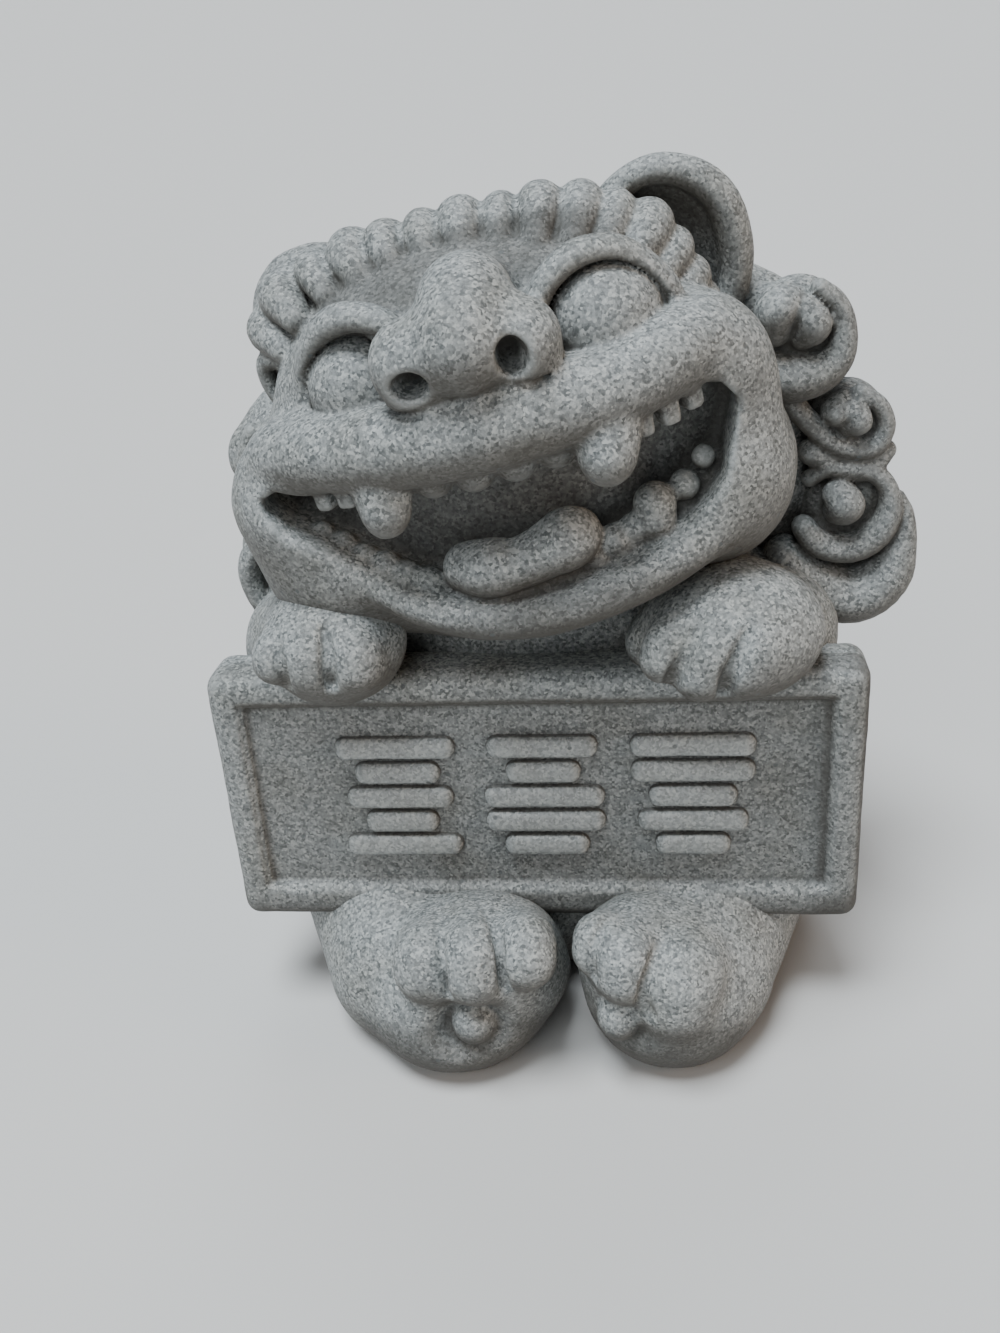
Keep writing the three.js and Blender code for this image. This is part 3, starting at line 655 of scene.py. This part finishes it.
def carveMane(side):
    name = "mane_left" if side < 0 else "mane_right"
    low, high = zip(sorted(side * x for x in mane["across"]), mane["deep"], mane["tall"])
    stone = Carving(name, headPlace, low, high, mane["step"])
    for strand in mane["strands"]:
        stone.add(rope(toSide(side, strand), count=8), blend=1)
    for curl in curls.values():
        curl = curl.get("left", curl) if side < 0 else curl
        inward = side * (curl["leftIn"] if side < 0 else 1)
        centre, radii = curl["cushion"]
        stone.add(ball((inward * centre[0], *centre[1:]), radii), blend=1)
        for band in curl["bands"]:
            stone.add(rope(toSide(inward, band), count=26, deeper=1.3), blend=0.35)
        for bud in curl["buds"]:
            stone.add(rope(toSide(inward, bud), count=6), blend=0.3)
    return stone


# Wear, dirt and painted shade: how much stone lies round a point tells hollows, which get dirt and painted
# shade, from worn edges
wearDirtAndShade = dict(
    near=1.3, wide=4.5, step=1.2, low=(-56, -44, -4), high=(60, 42, 116),
    tightHollow=(0.53, 0.76), tightDirtAndShade=0.8, wideHollow=(0.6, 0.92), wideDirtAndShade=0.5, edge=(0.44, 0.26),
    facingUp=(0.3, 0.9), litTopShare=0.6,  # painted light: a surface that faces up loses this share of its dirt and painted shade
    facingDown=(-0.3, 0.5), zoneEdge=(1.3, 0.7), panelDepth=(0.4, 0.9), barDepth=(0.45, 0.95),
    curlDirtAndShade=0.6,
)


def ramp(value, low, high):
    t = np.clip((value - low) / (high - low), 0, 1)
    return t * t * (3 - 2 * t)


# The share of stone round each grid point, by two box blurs of how full each cell is
def shareOfStone(field, step, reach):
    share = np.clip(0.5 - field / step, 0, 1).astype(np.float32)
    cells = max(int(round(reach / step / 2)), 1)
    for axis in (0, 1, 2, 0, 1, 2):
        pad = [(cells + 1, cells) if k == axis else (0, 0) for k in range(3)]
        total = np.cumsum(np.pad(share, pad, mode="edge"), axis, dtype=np.float64)
        ahead = np.take(total, range(2 * cells + 1, total.shape[axis]), axis)
        behind = np.take(total, range(total.shape[axis] - 2 * cells - 1), axis)
        share = ((ahead - behind) / (2 * cells + 1)).astype(np.float32)
    return share


class WearDirtAndShadeReader:
    def __init__(self, carvings):
        self.low, self.step = np.array(wearDirtAndShade["low"], float), wearDirtAndShade["step"]
        count = np.ceil((np.array(wearDirtAndShade["high"]) - self.low) / self.step).astype(int)
        grid = np.stack(np.meshgrid(*[np.arange(c) for c in count], indexing="ij"), -1).reshape(-1, 3)
        points = self.low + self.step * grid
        field = np.full(len(points), Carving.far)
        for stone in carvings:
            inside = (points - stone.place[:3, 3]) @ stone.place[:3, :3]
            field = np.minimum(field, sample(stone.field, stone.low, stone.step, inside, Carving.far))
        self.wideShare = shareOfStone(field.reshape(count), self.step, wearDirtAndShade["wide"])

    def read(self, points, close=None):
        wide = sample(self.wideShare, self.low, self.step, points, outside=0.5)
        tight = wide if close is None else close
        # Hollows get dirt and painted shade together, in one mask
        hollow = wearDirtAndShade["tightDirtAndShade"] * ramp(tight, *wearDirtAndShade["tightHollow"])
        hollow = hollow + wearDirtAndShade["wideDirtAndShade"] * ramp(wide, *wearDirtAndShade["wideHollow"])
        return {"dirt": np.clip(hollow, 0, 1), "wear": ramp(tight, *wearDirtAndShade["edge"])}


# Placed zones of dirt and painted shade beyond what the shape alone gives, and painted light where the
# amount is below zero
dirtShadeAndLightZones = {  # centre, radii, amount
    "lion_head": [
        ((1, -7, 21), (22, 7, 4), 0.7), ((30, -2, -10), (7, 9, 16), 0.35), ((0, -9, -5), (31, 8, 13), 0.6),
        ((2, -22, -18), (24, 8, 5), 0.7),
    ],
    "lion_body": [((-10, -34, 5), (17, 9, 7), 0.7), ((16, -34, 5), (14, 9, 7), 0.7)],
    "board": [
        ((0, 6, 38), (27, 7, 5), -1.0), ((0, 0, 0), (60, 12, 5), 0.6), ((44, 0, 19), (8, 12, 30), 0.4),
    ],
    "mane_right": [((40, 2, -14), (12, 12, 24), 0.45)],
}


def setAttributes(mesh, values):
    for name, value in values.items():
        made = mesh.attributes.new(name, "FLOAT", "POINT")
        made.data.foreach_set("value", value.astype(np.float32))


def toMesh(name, points, quads):
    mesh = bpy.data.meshes.new(name)
    mesh.vertices.add(len(points))
    mesh.vertices.foreach_set("co", (points * mm).astype(np.float32).ravel())
    mesh.loops.add(quads.size)
    mesh.loops.foreach_set("vertex_index", quads.astype(np.int32).ravel())
    mesh.polygons.add(len(quads))
    mesh.polygons.foreach_set("loop_start", np.arange(0, quads.size, 4, dtype=np.int32))
    mesh.update(calc_edges=True)
    mesh.shade_smooth()
    return mesh


# The casting's own unevenness, too broad for a bump
unevenness = dict(size=5.0, height=0.22)
mostTriangles = 185000


def evaluatedMesh(piece):
    return bpy.data.meshes.new_from_object(piece.evaluated_get(bpy.context.evaluated_depsgraph_get()))


# A finished piece is uneven, light enough, flat where it stands, and has no modifiers left
def finishStone(piece, material):
    clouds = bpy.data.textures.get("unevenness") or bpy.data.textures.new("unevenness", "CLOUDS")
    clouds.noise_scale = unevenness["size"] * mm
    uneven = piece.modifiers.new("unevenness", "DISPLACE")
    uneven.texture, uneven.texture_coords = clouds, "LOCAL"
    uneven.strength, uneven.mid_level = unevenness["height"] * mm, 0.5
    triangles = sum(len(face.vertices) - 2 for face in piece.data.polygons)
    if triangles > mostTriangles:
        piece.modifiers.new("lighter", "DECIMATE").ratio = mostTriangles / triangles
    plain = evaluatedMesh(piece)
    points = np.zeros(3 * len(plain.vertices), np.float32)
    plain.vertices.foreach_get("co", points)
    points[2::3] = np.maximum(points[2::3], 0)
    plain.vertices.foreach_set("co", points)
    plain.update()
    piece.modifiers.clear()
    piece.data = plain
    plain.name = piece.name
    plain.materials.clear()
    plain.materials.append(material)
    ridePiece(piece)


def ridePiece(piece):
    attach(piece, "root")
    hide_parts(node)


def makePiece(name, mesh):
    piece = bpy.data.objects.new(name, mesh)
    bpy.context.scene.collection.objects.link(piece)
    return piece


def meshCarving(stone, wearDirtAndShadeReader, material):
    stone.fillPockets()
    points, quads = stone.surface()
    near = shareOfStone(stone.field, stone.step, wearDirtAndShade["near"])
    close = sample(near, stone.low, stone.step, points, outside=0.5)
    outer = toOuter(stone.place, points)
    values = wearDirtAndShadeReader.read(outer, close)
    outer[:, 2] = np.maximum(outer[:, 2], 0)
    mesh = toMesh(stone.name, outer, quads)
    normals = np.zeros(3 * len(outer), np.float32)
    mesh.vertex_normals.foreach_get("vector", normals)
    # Painted shade on faces that face down
    values["under"] = ramp(-normals[2::3], *wearDirtAndShade["facingDown"])
    # Painted light: faces that face up lose part of their dirt and painted shade
    values["dirt"] *= 1 - wearDirtAndShade["litTopShare"] * ramp(normals[2::3], *wearDirtAndShade["facingUp"])
    # Placed zones of dirt and painted shade, and of painted light where the amount is below zero
    for centre, radii, amount in dirtShadeAndLightZones.get(stone.name, []):
        away = np.linalg.norm((points - centre) / radii, axis=1)
        values["dirt"] += amount * ramp(away, *wearDirtAndShade["zoneEdge"])
    # Painted shade in the board's sunk panel, darker deeper in
    if stone.name == "board":
        inPanel = (np.abs(points[:, 0]) < board["width"] / 2) & (points[:, 1] < board["thick"] / 2)
        values["dirt"] += board["panelShade"] * inPanel * ramp(points[:, 1], *wearDirtAndShade["panelDepth"])
    values["dirt"] = np.clip(values["dirt"], 0, 1)
    setAttributes(mesh, values)
    finishStone(makePiece(stone.name, mesh), material)
    print(stone.name, "has", 2 * len(quads), "triangles")


# One small class for node maths: operators on it add Math nodes, and node() adds any other
class Socket:
    def __init__(self, tree, output=None):
        self.tree, self.output = tree, output

    def node(self, kind, settings=None, inputs=None, out=0):
        made = self.tree.nodes.new(kind)
        for name, value in (settings or {}).items():
            if name == "stops":
                self.setStops(made.color_ramp.elements, value)
            else:
                setattr(made, name, value)
        for key, value in (inputs or {}).items():
            if isinstance(value, Socket):
                self.tree.links.new(value.output, made.inputs[key])
            else:
                made.inputs[key].default_value = value
        return Socket(self.tree, made.outputs[out]) if out is not None else made

    def setStops(self, elements, stops):
        while len(elements) < len(stops):
            elements.new(1)
        for element, (at, shade) in zip(elements, stops):
            element.position, element.color = at, (*shade, 1)

    def maths(self, operation, a, b=0.0):
        return self.node("ShaderNodeMath", {"operation": operation}, {0: a, 1: b})

    def __add__(self, other):
        return self.maths("ADD", self, other)

    def __radd__(self, other):
        return self.maths("ADD", other, self)

    def __sub__(self, other):
        return self.maths("SUBTRACT", self, other)

    def __rsub__(self, other):
        return self.maths("SUBTRACT", other, self)

    def __mul__(self, other):
        return self.maths("MULTIPLY", self, other)

    def __rmul__(self, other):
        return self.maths("MULTIPLY", other, self)

    def __truediv__(self, other):
        return self.maths("DIVIDE", self, other)

    def span(self, low, high):  # 0 at low, 1 at high, soft between
        return self.node("ShaderNodeMapRange", {"interpolation_type": "SMOOTHSTEP"}, {
            "Value": self, "From Min": low, "From Max": high,
        })

    def mix(self, a, b, how="MIX"):  # from colour a to colour b by this mask
        a, b = [tint if isinstance(tint, Socket) else (*tint, 1) for tint in (a, b)]
        settings = {"data_type": "RGBA", "blend_type": how}
        return self.node("ShaderNodeMix", settings, {0: self, 6: a, 7: b}, out=2)


# The stone's grains, specks and pits by their size in millimetres, and how far each colour shows
stoneLook = dict(
    grain=0.34, bigGrain=0.95, speck=0.8, pit=2.6, cloud=9.0, stainSize=5.0,
    dark=(0.10, 0.108, 0.107), middle=(0.205, 0.217, 0.214), pale=(0.30, 0.313, 0.305),
    # The dirt colour stands for dirt and painted shade in hollows; the underside colour is painted shade,
    # with a painted warm bounce, on faces that face down
    white=(0.46, 0.47, 0.45), dirt=(0.058, 0.054, 0.047), undersideShadeTint=(0.056, 0.047, 0.036),
    warm=(0.24, 0.205, 0.15), worn=(0.38, 0.39, 0.375),
    softGrain=0.55, hardGrain=0.45, grainStops=(0.30, 0.43, 0.58, 0.72),
    paleSpan=(0.40, 0.66), paleShare=0.35, warmSpan=(0.45, 0.7), warmShare=0.32,
    speckEdge=(0.24, 0.14), speckPick=(0.72, 0.78), speckShare=0.75,
    pitEdge=(0.15, 0.09), pitPick=(0.5, 0.56), pitShare=0.8,
    leastStain=0.65, stainSwing=0.7, soilSpan=(0.12, 1.0), soilShare=0.82, undersideShadeShare=0.8, wornShare=0.45,
    grainHeight=0.04, bump=0.7, grainsInLump=2.2, lumpHeight=0.5, pitDepth=1.6, speckDepth=0.5,
    roughness=0.62, soilRough=0.22, wornSmooth=0.12, grainRough=0.14, specular=0.45,
)


def makeStone():
    material = bpy.data.materials.new("castStone")
    material.use_nodes = True
    tree = material.node_tree
    tree.nodes.clear()
    s, look = Socket(tree), stoneLook
    place = s.node("ShaderNodeTexCoord", out="Object")

    def noise(size, detail=2.0, rough=0.5):
        return s.node("ShaderNodeTexNoise", {}, {
            "Vector": place, "Scale": 1 / (size * mm), "Detail": detail, "Roughness": rough,
        })

    def cells(size, out):
        return s.node("ShaderNodeTexVoronoi", {}, {"Vector": place, "Scale": 1 / (size * mm)}, out=out)

    def tone(colour):
        return s.node("ShaderNodeSeparateColor", {}, {0: colour})

    def spots(size, edge, pick):  # round spots at some of the cells' middles
        return cells(size, "Distance").span(*edge) * tone(cells(size, "Color")).span(*pick)

    def attribute(name):
        return s.node("ShaderNodeAttribute", {"attribute_name": name}, out="Fac")

    # Grain
    soft, hard = noise(look["grain"], rough=0.7), tone(cells(look["grain"], "Color"))
    grain = look["softGrain"] * soft + look["hardGrain"] * hard
    shades = [look[name] for name in ("dark", "middle", "pale", "white")]
    base = s.node("ShaderNodeValToRGB", {"stops": list(zip(look["grainStops"], shades))}, {0: grain})
    patches = noise(look["bigGrain"], detail=1.0).span(*look["paleSpan"])
    base = (look["paleShare"] * patches).mix(base, look["pale"])
    specks = spots(look["speck"], look["speckEdge"], look["speckPick"])
    base = (look["speckShare"] * specks).mix(base, look["dark"])

    # Stains, dirt with painted shade, painted shade on faces that face down, worn edges and pits
    stain = noise(look["stainSize"], detail=3.0, rough=0.6)
    clouds = noise(look["cloud"]).span(*look["warmSpan"])
    base = (look["warmShare"] * clouds).mix(base, look["warm"], "SOFT_LIGHT")
    # Painted shade, with a painted warm bounce, on faces that face down
    base = (look["undersideShadeShare"] * attribute("under")).mix(base, look["undersideShadeTint"])
    dirt, wear = attribute("dirt"), attribute("wear")
    # Dirt and painted shade in hollows, broken up by the stain noise
    dirtAndShadeMask = (dirt * (look["leastStain"] + look["stainSwing"] * stain)).span(*look["soilSpan"])
    base = (look["wornShare"] * wear).mix(base, look["worn"])
    base = (look["soilShare"] * dirtAndShadeMask).mix(base, look["dirt"])
    pits = spots(look["pit"], look["pitEdge"], look["pitPick"])
    base = (look["pitShare"] * pits).mix(base, look["dark"])

    # Relief and gloss
    lumps = noise(look["grain"] * look["grainsInLump"], detail=1.0)
    height = grain + look["lumpHeight"] * lumps - look["pitDepth"] * pits - look["speckDepth"] * specks
    bump = s.node("ShaderNodeBump", {}, {
        "Strength": look["bump"], "Distance": look["grainHeight"] * mm, "Height": height,
    }, out="Normal")
    roughness = look["roughness"] + look["soilRough"] * dirtAndShadeMask - look["wornSmooth"] * wear
    roughness = roughness + look["grainRough"] * (grain - 0.5)
    surface = s.node("ShaderNodeBsdfPrincipled", {}, {
        "Base Color": base, "Roughness": roughness, "Normal": bump, "Specular IOR Level": look["specular"],
    })
    s.node("ShaderNodeOutputMaterial", {}, {"Surface": surface}, out=None)
    return material


# Geometry Nodes trees: named inputs in, one plain mesh out
def makeTree(name, inputs):
    tree = bpy.data.node_groups.new(name, "GeometryNodeTree")
    tree.interface.new_socket("Geometry", in_out="OUTPUT", socket_type="NodeSocketGeometry")
    for label, value in inputs.items():
        kind = {int: "Int", float: "Float", tuple: "Vector"}.get(type(value), "Material")
        tree.interface.new_socket(label, in_out="INPUT", socket_type="NodeSocket" + kind)
    entry = tree.nodes.new("NodeGroupInput")
    return tree, {label: Socket(tree, entry.outputs[label]) for label in inputs}


def endTree(g, geometry, material):
    whole = g.node("GeometryNodeRealizeInstances", {}, {"Geometry": geometry})
    finished = g.node("GeometryNodeSetMaterial", {}, {"Geometry": whole, "Material": material})
    g.node("NodeGroupOutput", {}, {0: finished}, out=None)


def grow(name, tree, values):
    piece = makePiece(name, bpy.data.meshes.new(name))
    modifier = piece.modifiers.new(name, "NODES")
    modifier.node_group = tree
    for item in tree.interface.items_tree:
        if item.in_out == "INPUT":
            modifier[item.identifier] = values[item.name]
    mesh = evaluatedMesh(piece)
    piece.modifiers.clear()
    piece.data = mesh
    mesh.name = name
    mesh.shade_smooth()
    return piece


# Rows of shallow raised bars stand on the board's panel, in three groups
strokes = dict(
    groups=3, groupPitch=19.2, offset=1.2, rows=5, rowPitch=3.72, middle=19.3,
    lengths=(16.0, 11.5, 14.5, 10.0, 16.0), height=2.8, proud=1.5, edge=0.8, fine=0.28,
    endShare=0.0004,  # of the section, squared, so that a round end never closes to nothing
)


def makeStrokes(material):
    look = strokes
    inputs = {
        "Groups": look["groups"], "Group Pitch": look["groupPitch"], "Rows": look["rows"],
        "Row Pitch": look["rowPitch"], "Middle": look["middle"], "Bar Height": look["height"],
        "Proud": look["proud"], "Edge": look["edge"], "Fine": look["fine"], "Depth": board["recess"],
        "Offset": look["offset"], "Material": material,
    }
    tree, socket = makeTree("boardStrokes", inputs)
    g = Socket(tree)
    index = g.node("GeometryNodeInputIndex")
    column = g.maths("FLOOR", (index + 0.5) / socket["Rows"])
    row = index - column * socket["Rows"]
    x = (column - (socket["Groups"] - 1) / 2) * socket["Group Pitch"] + socket["Offset"]
    z = socket["Middle"] + ((socket["Rows"] - 1) / 2 - row) * socket["Row Pitch"]
    at = g.node("ShaderNodeCombineXYZ", {}, {"X": x, "Y": socket["Depth"], "Z": z})
    points = g.node("GeometryNodePoints", {}, {"Count": socket["Groups"] * socket["Rows"], "Position": at})
    pick = g.maths("MODULO", row + 2 * column, socket["Rows"])
    switch = tree.nodes.new("GeometryNodeIndexSwitch")
    switch.data_type = "FLOAT"
    while len(switch.index_switch_items) < look["rows"]:
        switch.index_switch_items.new()
    tree.links.new(pick.output, switch.inputs["Index"])
    for i, length in enumerate(look["lengths"]):
        switch.inputs[i + 1].default_value = length
    size = g.node("ShaderNodeCombineXYZ", {}, {"X": Socket(tree, switch.outputs[0]), "Y": 1, "Z": 1})
    line = g.node("GeometryNodeCurvePrimitiveLine", {}, {"Start": (-0.5, 0, 0), "End": (0.5, 0, 0)})
    bars = g.node("GeometryNodeInstanceOnPoints", {}, {"Points": points, "Instance": line, "Scale": size})
    lines = g.node("GeometryNodeRealizeInstances", {}, {"Geometry": bars})
    lines = g.node("GeometryNodeResampleCurve", {"mode": "LENGTH"}, {
        "Curve": lines, "Length": socket["Fine"],
    })
    along = g.node("GeometryNodeSplineParameter", out="Length")
    total = g.node("GeometryNodeSplineLength")
    toEnd = g.maths("MINIMUM", along, total - along)
    short = g.maths("MAXIMUM", 0, 1 - toEnd / (socket["Bar Height"] / 2))
    rounded = g.maths("SQRT", g.maths("MAXIMUM", look["endShare"], 1 - short * short))
    section = g.node("GeometryNodeCurvePrimitiveQuadrilateral", {}, {
        "Width": socket["Bar Height"], "Height": 2 * socket["Proud"],
    })
    section = g.node("GeometryNodeFilletCurve", {"mode": "POLY"}, {
        "Curve": section, "Count": 3, "Radius": socket["Edge"],
    })
    mesh = g.node("GeometryNodeCurveToMesh", {}, {
        "Curve": lines, "Profile Curve": section, "Scale": rounded, "Fill Caps": True,
    })
    endTree(g, mesh, socket["Material"])
    return grow("board_strokes", tree, inputs)


# Round curls cover the back of the head, wound to the left on one side and to the right on the other
headCurls = dict(
    middle=(0.0, 6.5, -4.0), skull=(32.0, 22.0, 21.5), size=8.8, turns=1.75, band=2.1, dome=0.5,
    backFrom=0.1, lowest=-0.8, earBack=0.45, earIn=0.5, steps=20,
    # Shares of a curl's size, and of its band's length and thickness
    inner=0.24, outer=0.84, rise=-0.14, bandLift=0.46, domeRadius=0.93, budRadius=0.27, budLift=0.45,
    # The last amount on the next line is the dirt and painted shade of the dome under each curl
    endFrom=0.88, endThick=0.01, startThick=0.55, domeDirtAndShade=0.55,
)


def joined(g, parts):
    both = g.tree.nodes.new("GeometryNodeJoinGeometry")
    for part in parts:
        g.tree.links.new(part.output, both.inputs[0])
    return Socket(g.tree, both.outputs[0])


def makeCurl(g, socket, reverse):
    size, look = socket["Size"], headCurls
    along = g.node("GeometryNodeSplineParameter", out="Factor")
    ending = g.maths("MAXIMUM", 0, (along - look["endFrom"]) / (1 - look["endFrom"]))
    taper = g.maths("SQRT", g.maths("MAXIMUM", look["endThick"], 1 - ending * ending))
    thick = socket["Band"] * (look["startThick"] + (1 - look["startThick"]) * along) * taper
    ring = g.node("GeometryNodeCurvePrimitiveCircle", {}, {"Resolution": 8, "Radius": 1})
    spiral = g.node("GeometryNodeCurveSpiral", {}, {
        "Resolution": socket["Steps"], "Rotations": socket["Turns"], "Start Radius": look["inner"] * size,
        "End Radius": look["outer"] * size, "Height": look["rise"] * size, "Reverse": reverse,
    })
    band = g.node("GeometryNodeCurveToMesh", {}, {
        "Curve": spiral, "Profile Curve": ring, "Scale": thick, "Fill Caps": True,
    })

    def part(mesh, lift, flat=1.0):
        up = g.node("ShaderNodeCombineXYZ", {}, {"X": 0, "Y": 0, "Z": lift * size})
        scale = g.node("ShaderNodeCombineXYZ", {}, {"X": 1, "Y": 1, "Z": flat})
        return g.node("GeometryNodeTransform", {}, {"Geometry": mesh, "Translation": up, "Scale": scale})

    def sphere(segments, radius):
        return g.node("GeometryNodeMeshUVSphere", {}, {
            "Segments": segments[0], "Rings": segments[1], "Radius": radius * size,
        })

    # The dome under each curl's band carries a fixed amount of dirt and painted shade
    dome = g.node("GeometryNodeStoreNamedAttribute", {"data_type": "FLOAT", "domain": "POINT"}, {
        "Geometry": sphere((20, 10), look["domeRadius"]), "Name": "dirt", "Value": look["domeDirtAndShade"],
    })
    bud = part(sphere((12, 8), look["budRadius"]), look["budLift"])
    return joined(g, [part(band, look["bandLift"]), part(dome, 0, socket["Dome"]), bud])


def makeHeadCurls(material):
    look = headCurls
    inputs = {
        "Middle": look["middle"], "Skull": look["skull"], "Size": look["size"], "Turns": look["turns"],
        "Band": look["band"], "Dome": look["dome"], "Back From": look["backFrom"], "Lowest": look["lowest"],
        "Ear Back": look["earBack"], "Ear In": look["earIn"], "Steps": look["steps"], "Material": material,
    }
    tree, socket = makeTree("headCurls", inputs)
    g = Socket(tree)
    position = g.node("GeometryNodeInputPosition")
    x, y, z = [g.node("ShaderNodeSeparateXYZ", {}, {0: position}, out=axis) for axis in "XYZ"]
    front = g.maths("LESS_THAN", y, socket["Back From"])
    low = g.maths("LESS_THAN", z, socket["Lowest"])
    outward = g.maths("GREATER_THAN", g.maths("ABSOLUTE", x), socket["Ear In"])
    byEar = g.maths("LESS_THAN", y, socket["Ear Back"]) * outward
    sphere = g.node("GeometryNodeMeshIcoSphere", {}, {"Radius": 1, "Subdivisions": 2})
    back = g.node("GeometryNodeDeleteGeometry", {}, {"Geometry": sphere, "Selection": front + low + byEar})
    dots = g.node("GeometryNodeMeshToPoints", {}, {"Mesh": back, "Radius": 0.01})
    onSkull = g.node("ShaderNodeVectorMath", {"operation": "MULTIPLY_ADD"}, {
        0: position, 1: socket["Skull"], 2: socket["Middle"],
    })
    dots = g.node("GeometryNodeSetPosition", {}, {"Geometry": dots, "Position": onSkull})
    away = g.node("ShaderNodeVectorMath", {"operation": "SUBTRACT"}, {0: position, 1: socket["Middle"]})
    for _ in range(2):
        away = g.node("ShaderNodeVectorMath", {"operation": "DIVIDE"}, {0: away, 1: socket["Skull"]})
    turn = g.node("FunctionNodeAlignRotationToVector", {"axis": "Z"}, {"Vector": away})
    onRight = g.maths("GREATER_THAN", x, 0)
    halves = [
        g.node("GeometryNodeInstanceOnPoints", {}, {
            "Points": dots, "Instance": makeCurl(g, socket, right), "Rotation": turn,
            "Selection": onRight if right else 1 - onRight,
        })
        for right in (False, True)
    ]
    endTree(g, joined(g, halves), socket["Material"])
    return grow("head_curls", tree, inputs)


# A piece made by Geometry Nodes is placed, and given wear, dirt and painted shade, as the carvings are
def placeGrown(piece, place, wearDirtAndShadeReader, material, ownDirtAndShade=None):
    mesh = piece.data
    points = np.zeros(3 * len(mesh.vertices), np.float32)
    mesh.vertices.foreach_get("co", points)
    points = points.reshape(-1, 3).astype(float)
    outer = toOuter(place, points)
    values = wearDirtAndShadeReader.read(outer)
    if "dirt" in mesh.attributes:
        own = np.zeros(len(points), np.float32)
        mesh.attributes["dirt"].data.foreach_get("value", own)
        mesh.attributes.remove(mesh.attributes["dirt"])
        # Curls keep a share of the hollows' dirt and painted shade, or the dome's own where that is more
        values["dirt"] = np.maximum(values["dirt"] * wearDirtAndShade["curlDirtAndShade"], own)
    if ownDirtAndShade is not None:
        values["dirt"] = ownDirtAndShade(points)
    mesh.vertices.foreach_set("co", (outer * mm).astype(np.float32).ravel())
    mesh.update()
    setAttributes(mesh, values)
    finishStone(piece, material)
    print(piece.name, "has", len(mesh.loop_triangles) or len(mesh.polygons), "faces")


# Bars get dirt and painted shade where they meet the panel, and none on top
def barDirtAndShade(points):
    return ramp(points[:, 1], *wearDirtAndShade["barDepth"])


# Stage, light and camera
stage = dict(half=4.0, colour=(0.6, 0.59, 0.57), roughness=0.75)  # half its side, in metres


def makeStage():
    mesh = bpy.data.meshes.new("floor")
    half = stage["half"]
    corners = [(-half, -half, 0), (half, -half, 0), (half, half, 0), (-half, half, 0)]
    mesh.from_pydata(corners, [], [(0, 1, 2, 3)])
    floor = makePiece("floor", mesh)
    material = bpy.data.materials.new("paleFloor")
    material.use_nodes = True
    shader = material.node_tree.nodes["Principled BSDF"]
    shader.inputs["Base Color"].default_value = (*stage["colour"], 1)
    shader.inputs["Roughness"].default_value = stage["roughness"]
    mesh.materials.append(material)


lights = [  # name, direction, angle, watts per square metre, colour
    ("overhead", (-0.14, -0.1, 0.8), 26, 4.1, (0.87, 0.94, 1.0)),
    ("front", (-0.3, -0.7, 0.6), 36, 0.9, (0.93, 0.97, 1.0)),
    ("behind", (-0.05, 0.5, 0.7), 30, 0.7, (0.86, 0.93, 1.0)),
    ("warmRight", (0.65, -0.12, 0.2), 30, 0.8, (1.0, 0.66, 0.4)),
]
world = dict(colour=(0.9, 0.94, 1.0), strength=0.15, seen=0.96)


# The camera sees the world brighter than it lights, so that the background matches the floor
def makeLights():
    for name, direction, angle, watts, colour in lights:
        data = bpy.data.lights.new(name, "SUN")
        data.angle, data.energy, data.color = math.radians(angle), watts, colour
        lamp = makePiece(name, data)
        lamp.rotation_euler = Vector(direction).to_track_quat("Z", "Y").to_euler()
    sky = bpy.data.worlds.new("studio")
    sky.use_nodes = True
    background = sky.node_tree.nodes["Background"]
    background.inputs["Color"].default_value = (*world["colour"], 1)
    s = Socket(sky.node_tree)
    seen = s.node("ShaderNodeLightPath", out="Is Camera Ray")
    strength = world["strength"] + (world["seen"] - world["strength"]) * seen
    sky.node_tree.links.new(strength.output, background.inputs["Strength"])
    bpy.context.scene.world = sky


# The photograph's camera: its place in millimetres, its angles, and its focal length in pixels
view = dict(
    at=(15.1, -146.5, 135.1), azimuth=8.0, down=31.7, roll=-5.3,
    focal=1250, imageHeight=1333, sensor=36, near=0.01,
)


def makeCamera():
    data = bpy.data.cameras.new("camera")
    data.sensor_width = view["sensor"]
    data.lens = view["focal"] / view["imageHeight"] * view["sensor"]
    data.clip_start = view["near"]
    camera = makePiece("camera", data)
    camera.location = [v * mm for v in view["at"]]
    facing = Euler((math.radians(90 - view["down"]), 0, math.radians(view["azimuth"]))).to_matrix()
    camera.rotation_euler = (facing @ Matrix.Rotation(math.radians(view["roll"]), 3, "Z")).to_euler()
    bpy.context.scene.camera = camera


material = makeStone()
carvings = [carveBody(), carveBoard(), carveHead(), carveMane(-1), carveMane(1)]
print("carved", len(carvings), "pieces of the casting")
wearDirtAndShadeReader = WearDirtAndShadeReader(carvings)
for stone in carvings:
    meshCarving(stone, wearDirtAndShadeReader, material)
placeGrown(makeStrokes(material), boardPlace, wearDirtAndShadeReader, material, barDirtAndShade)
placeGrown(makeHeadCurls(material), headPlace, wearDirtAndShadeReader, material)
makeStage()
makeLights()
makeCamera()
print("stage, lights and camera are set")
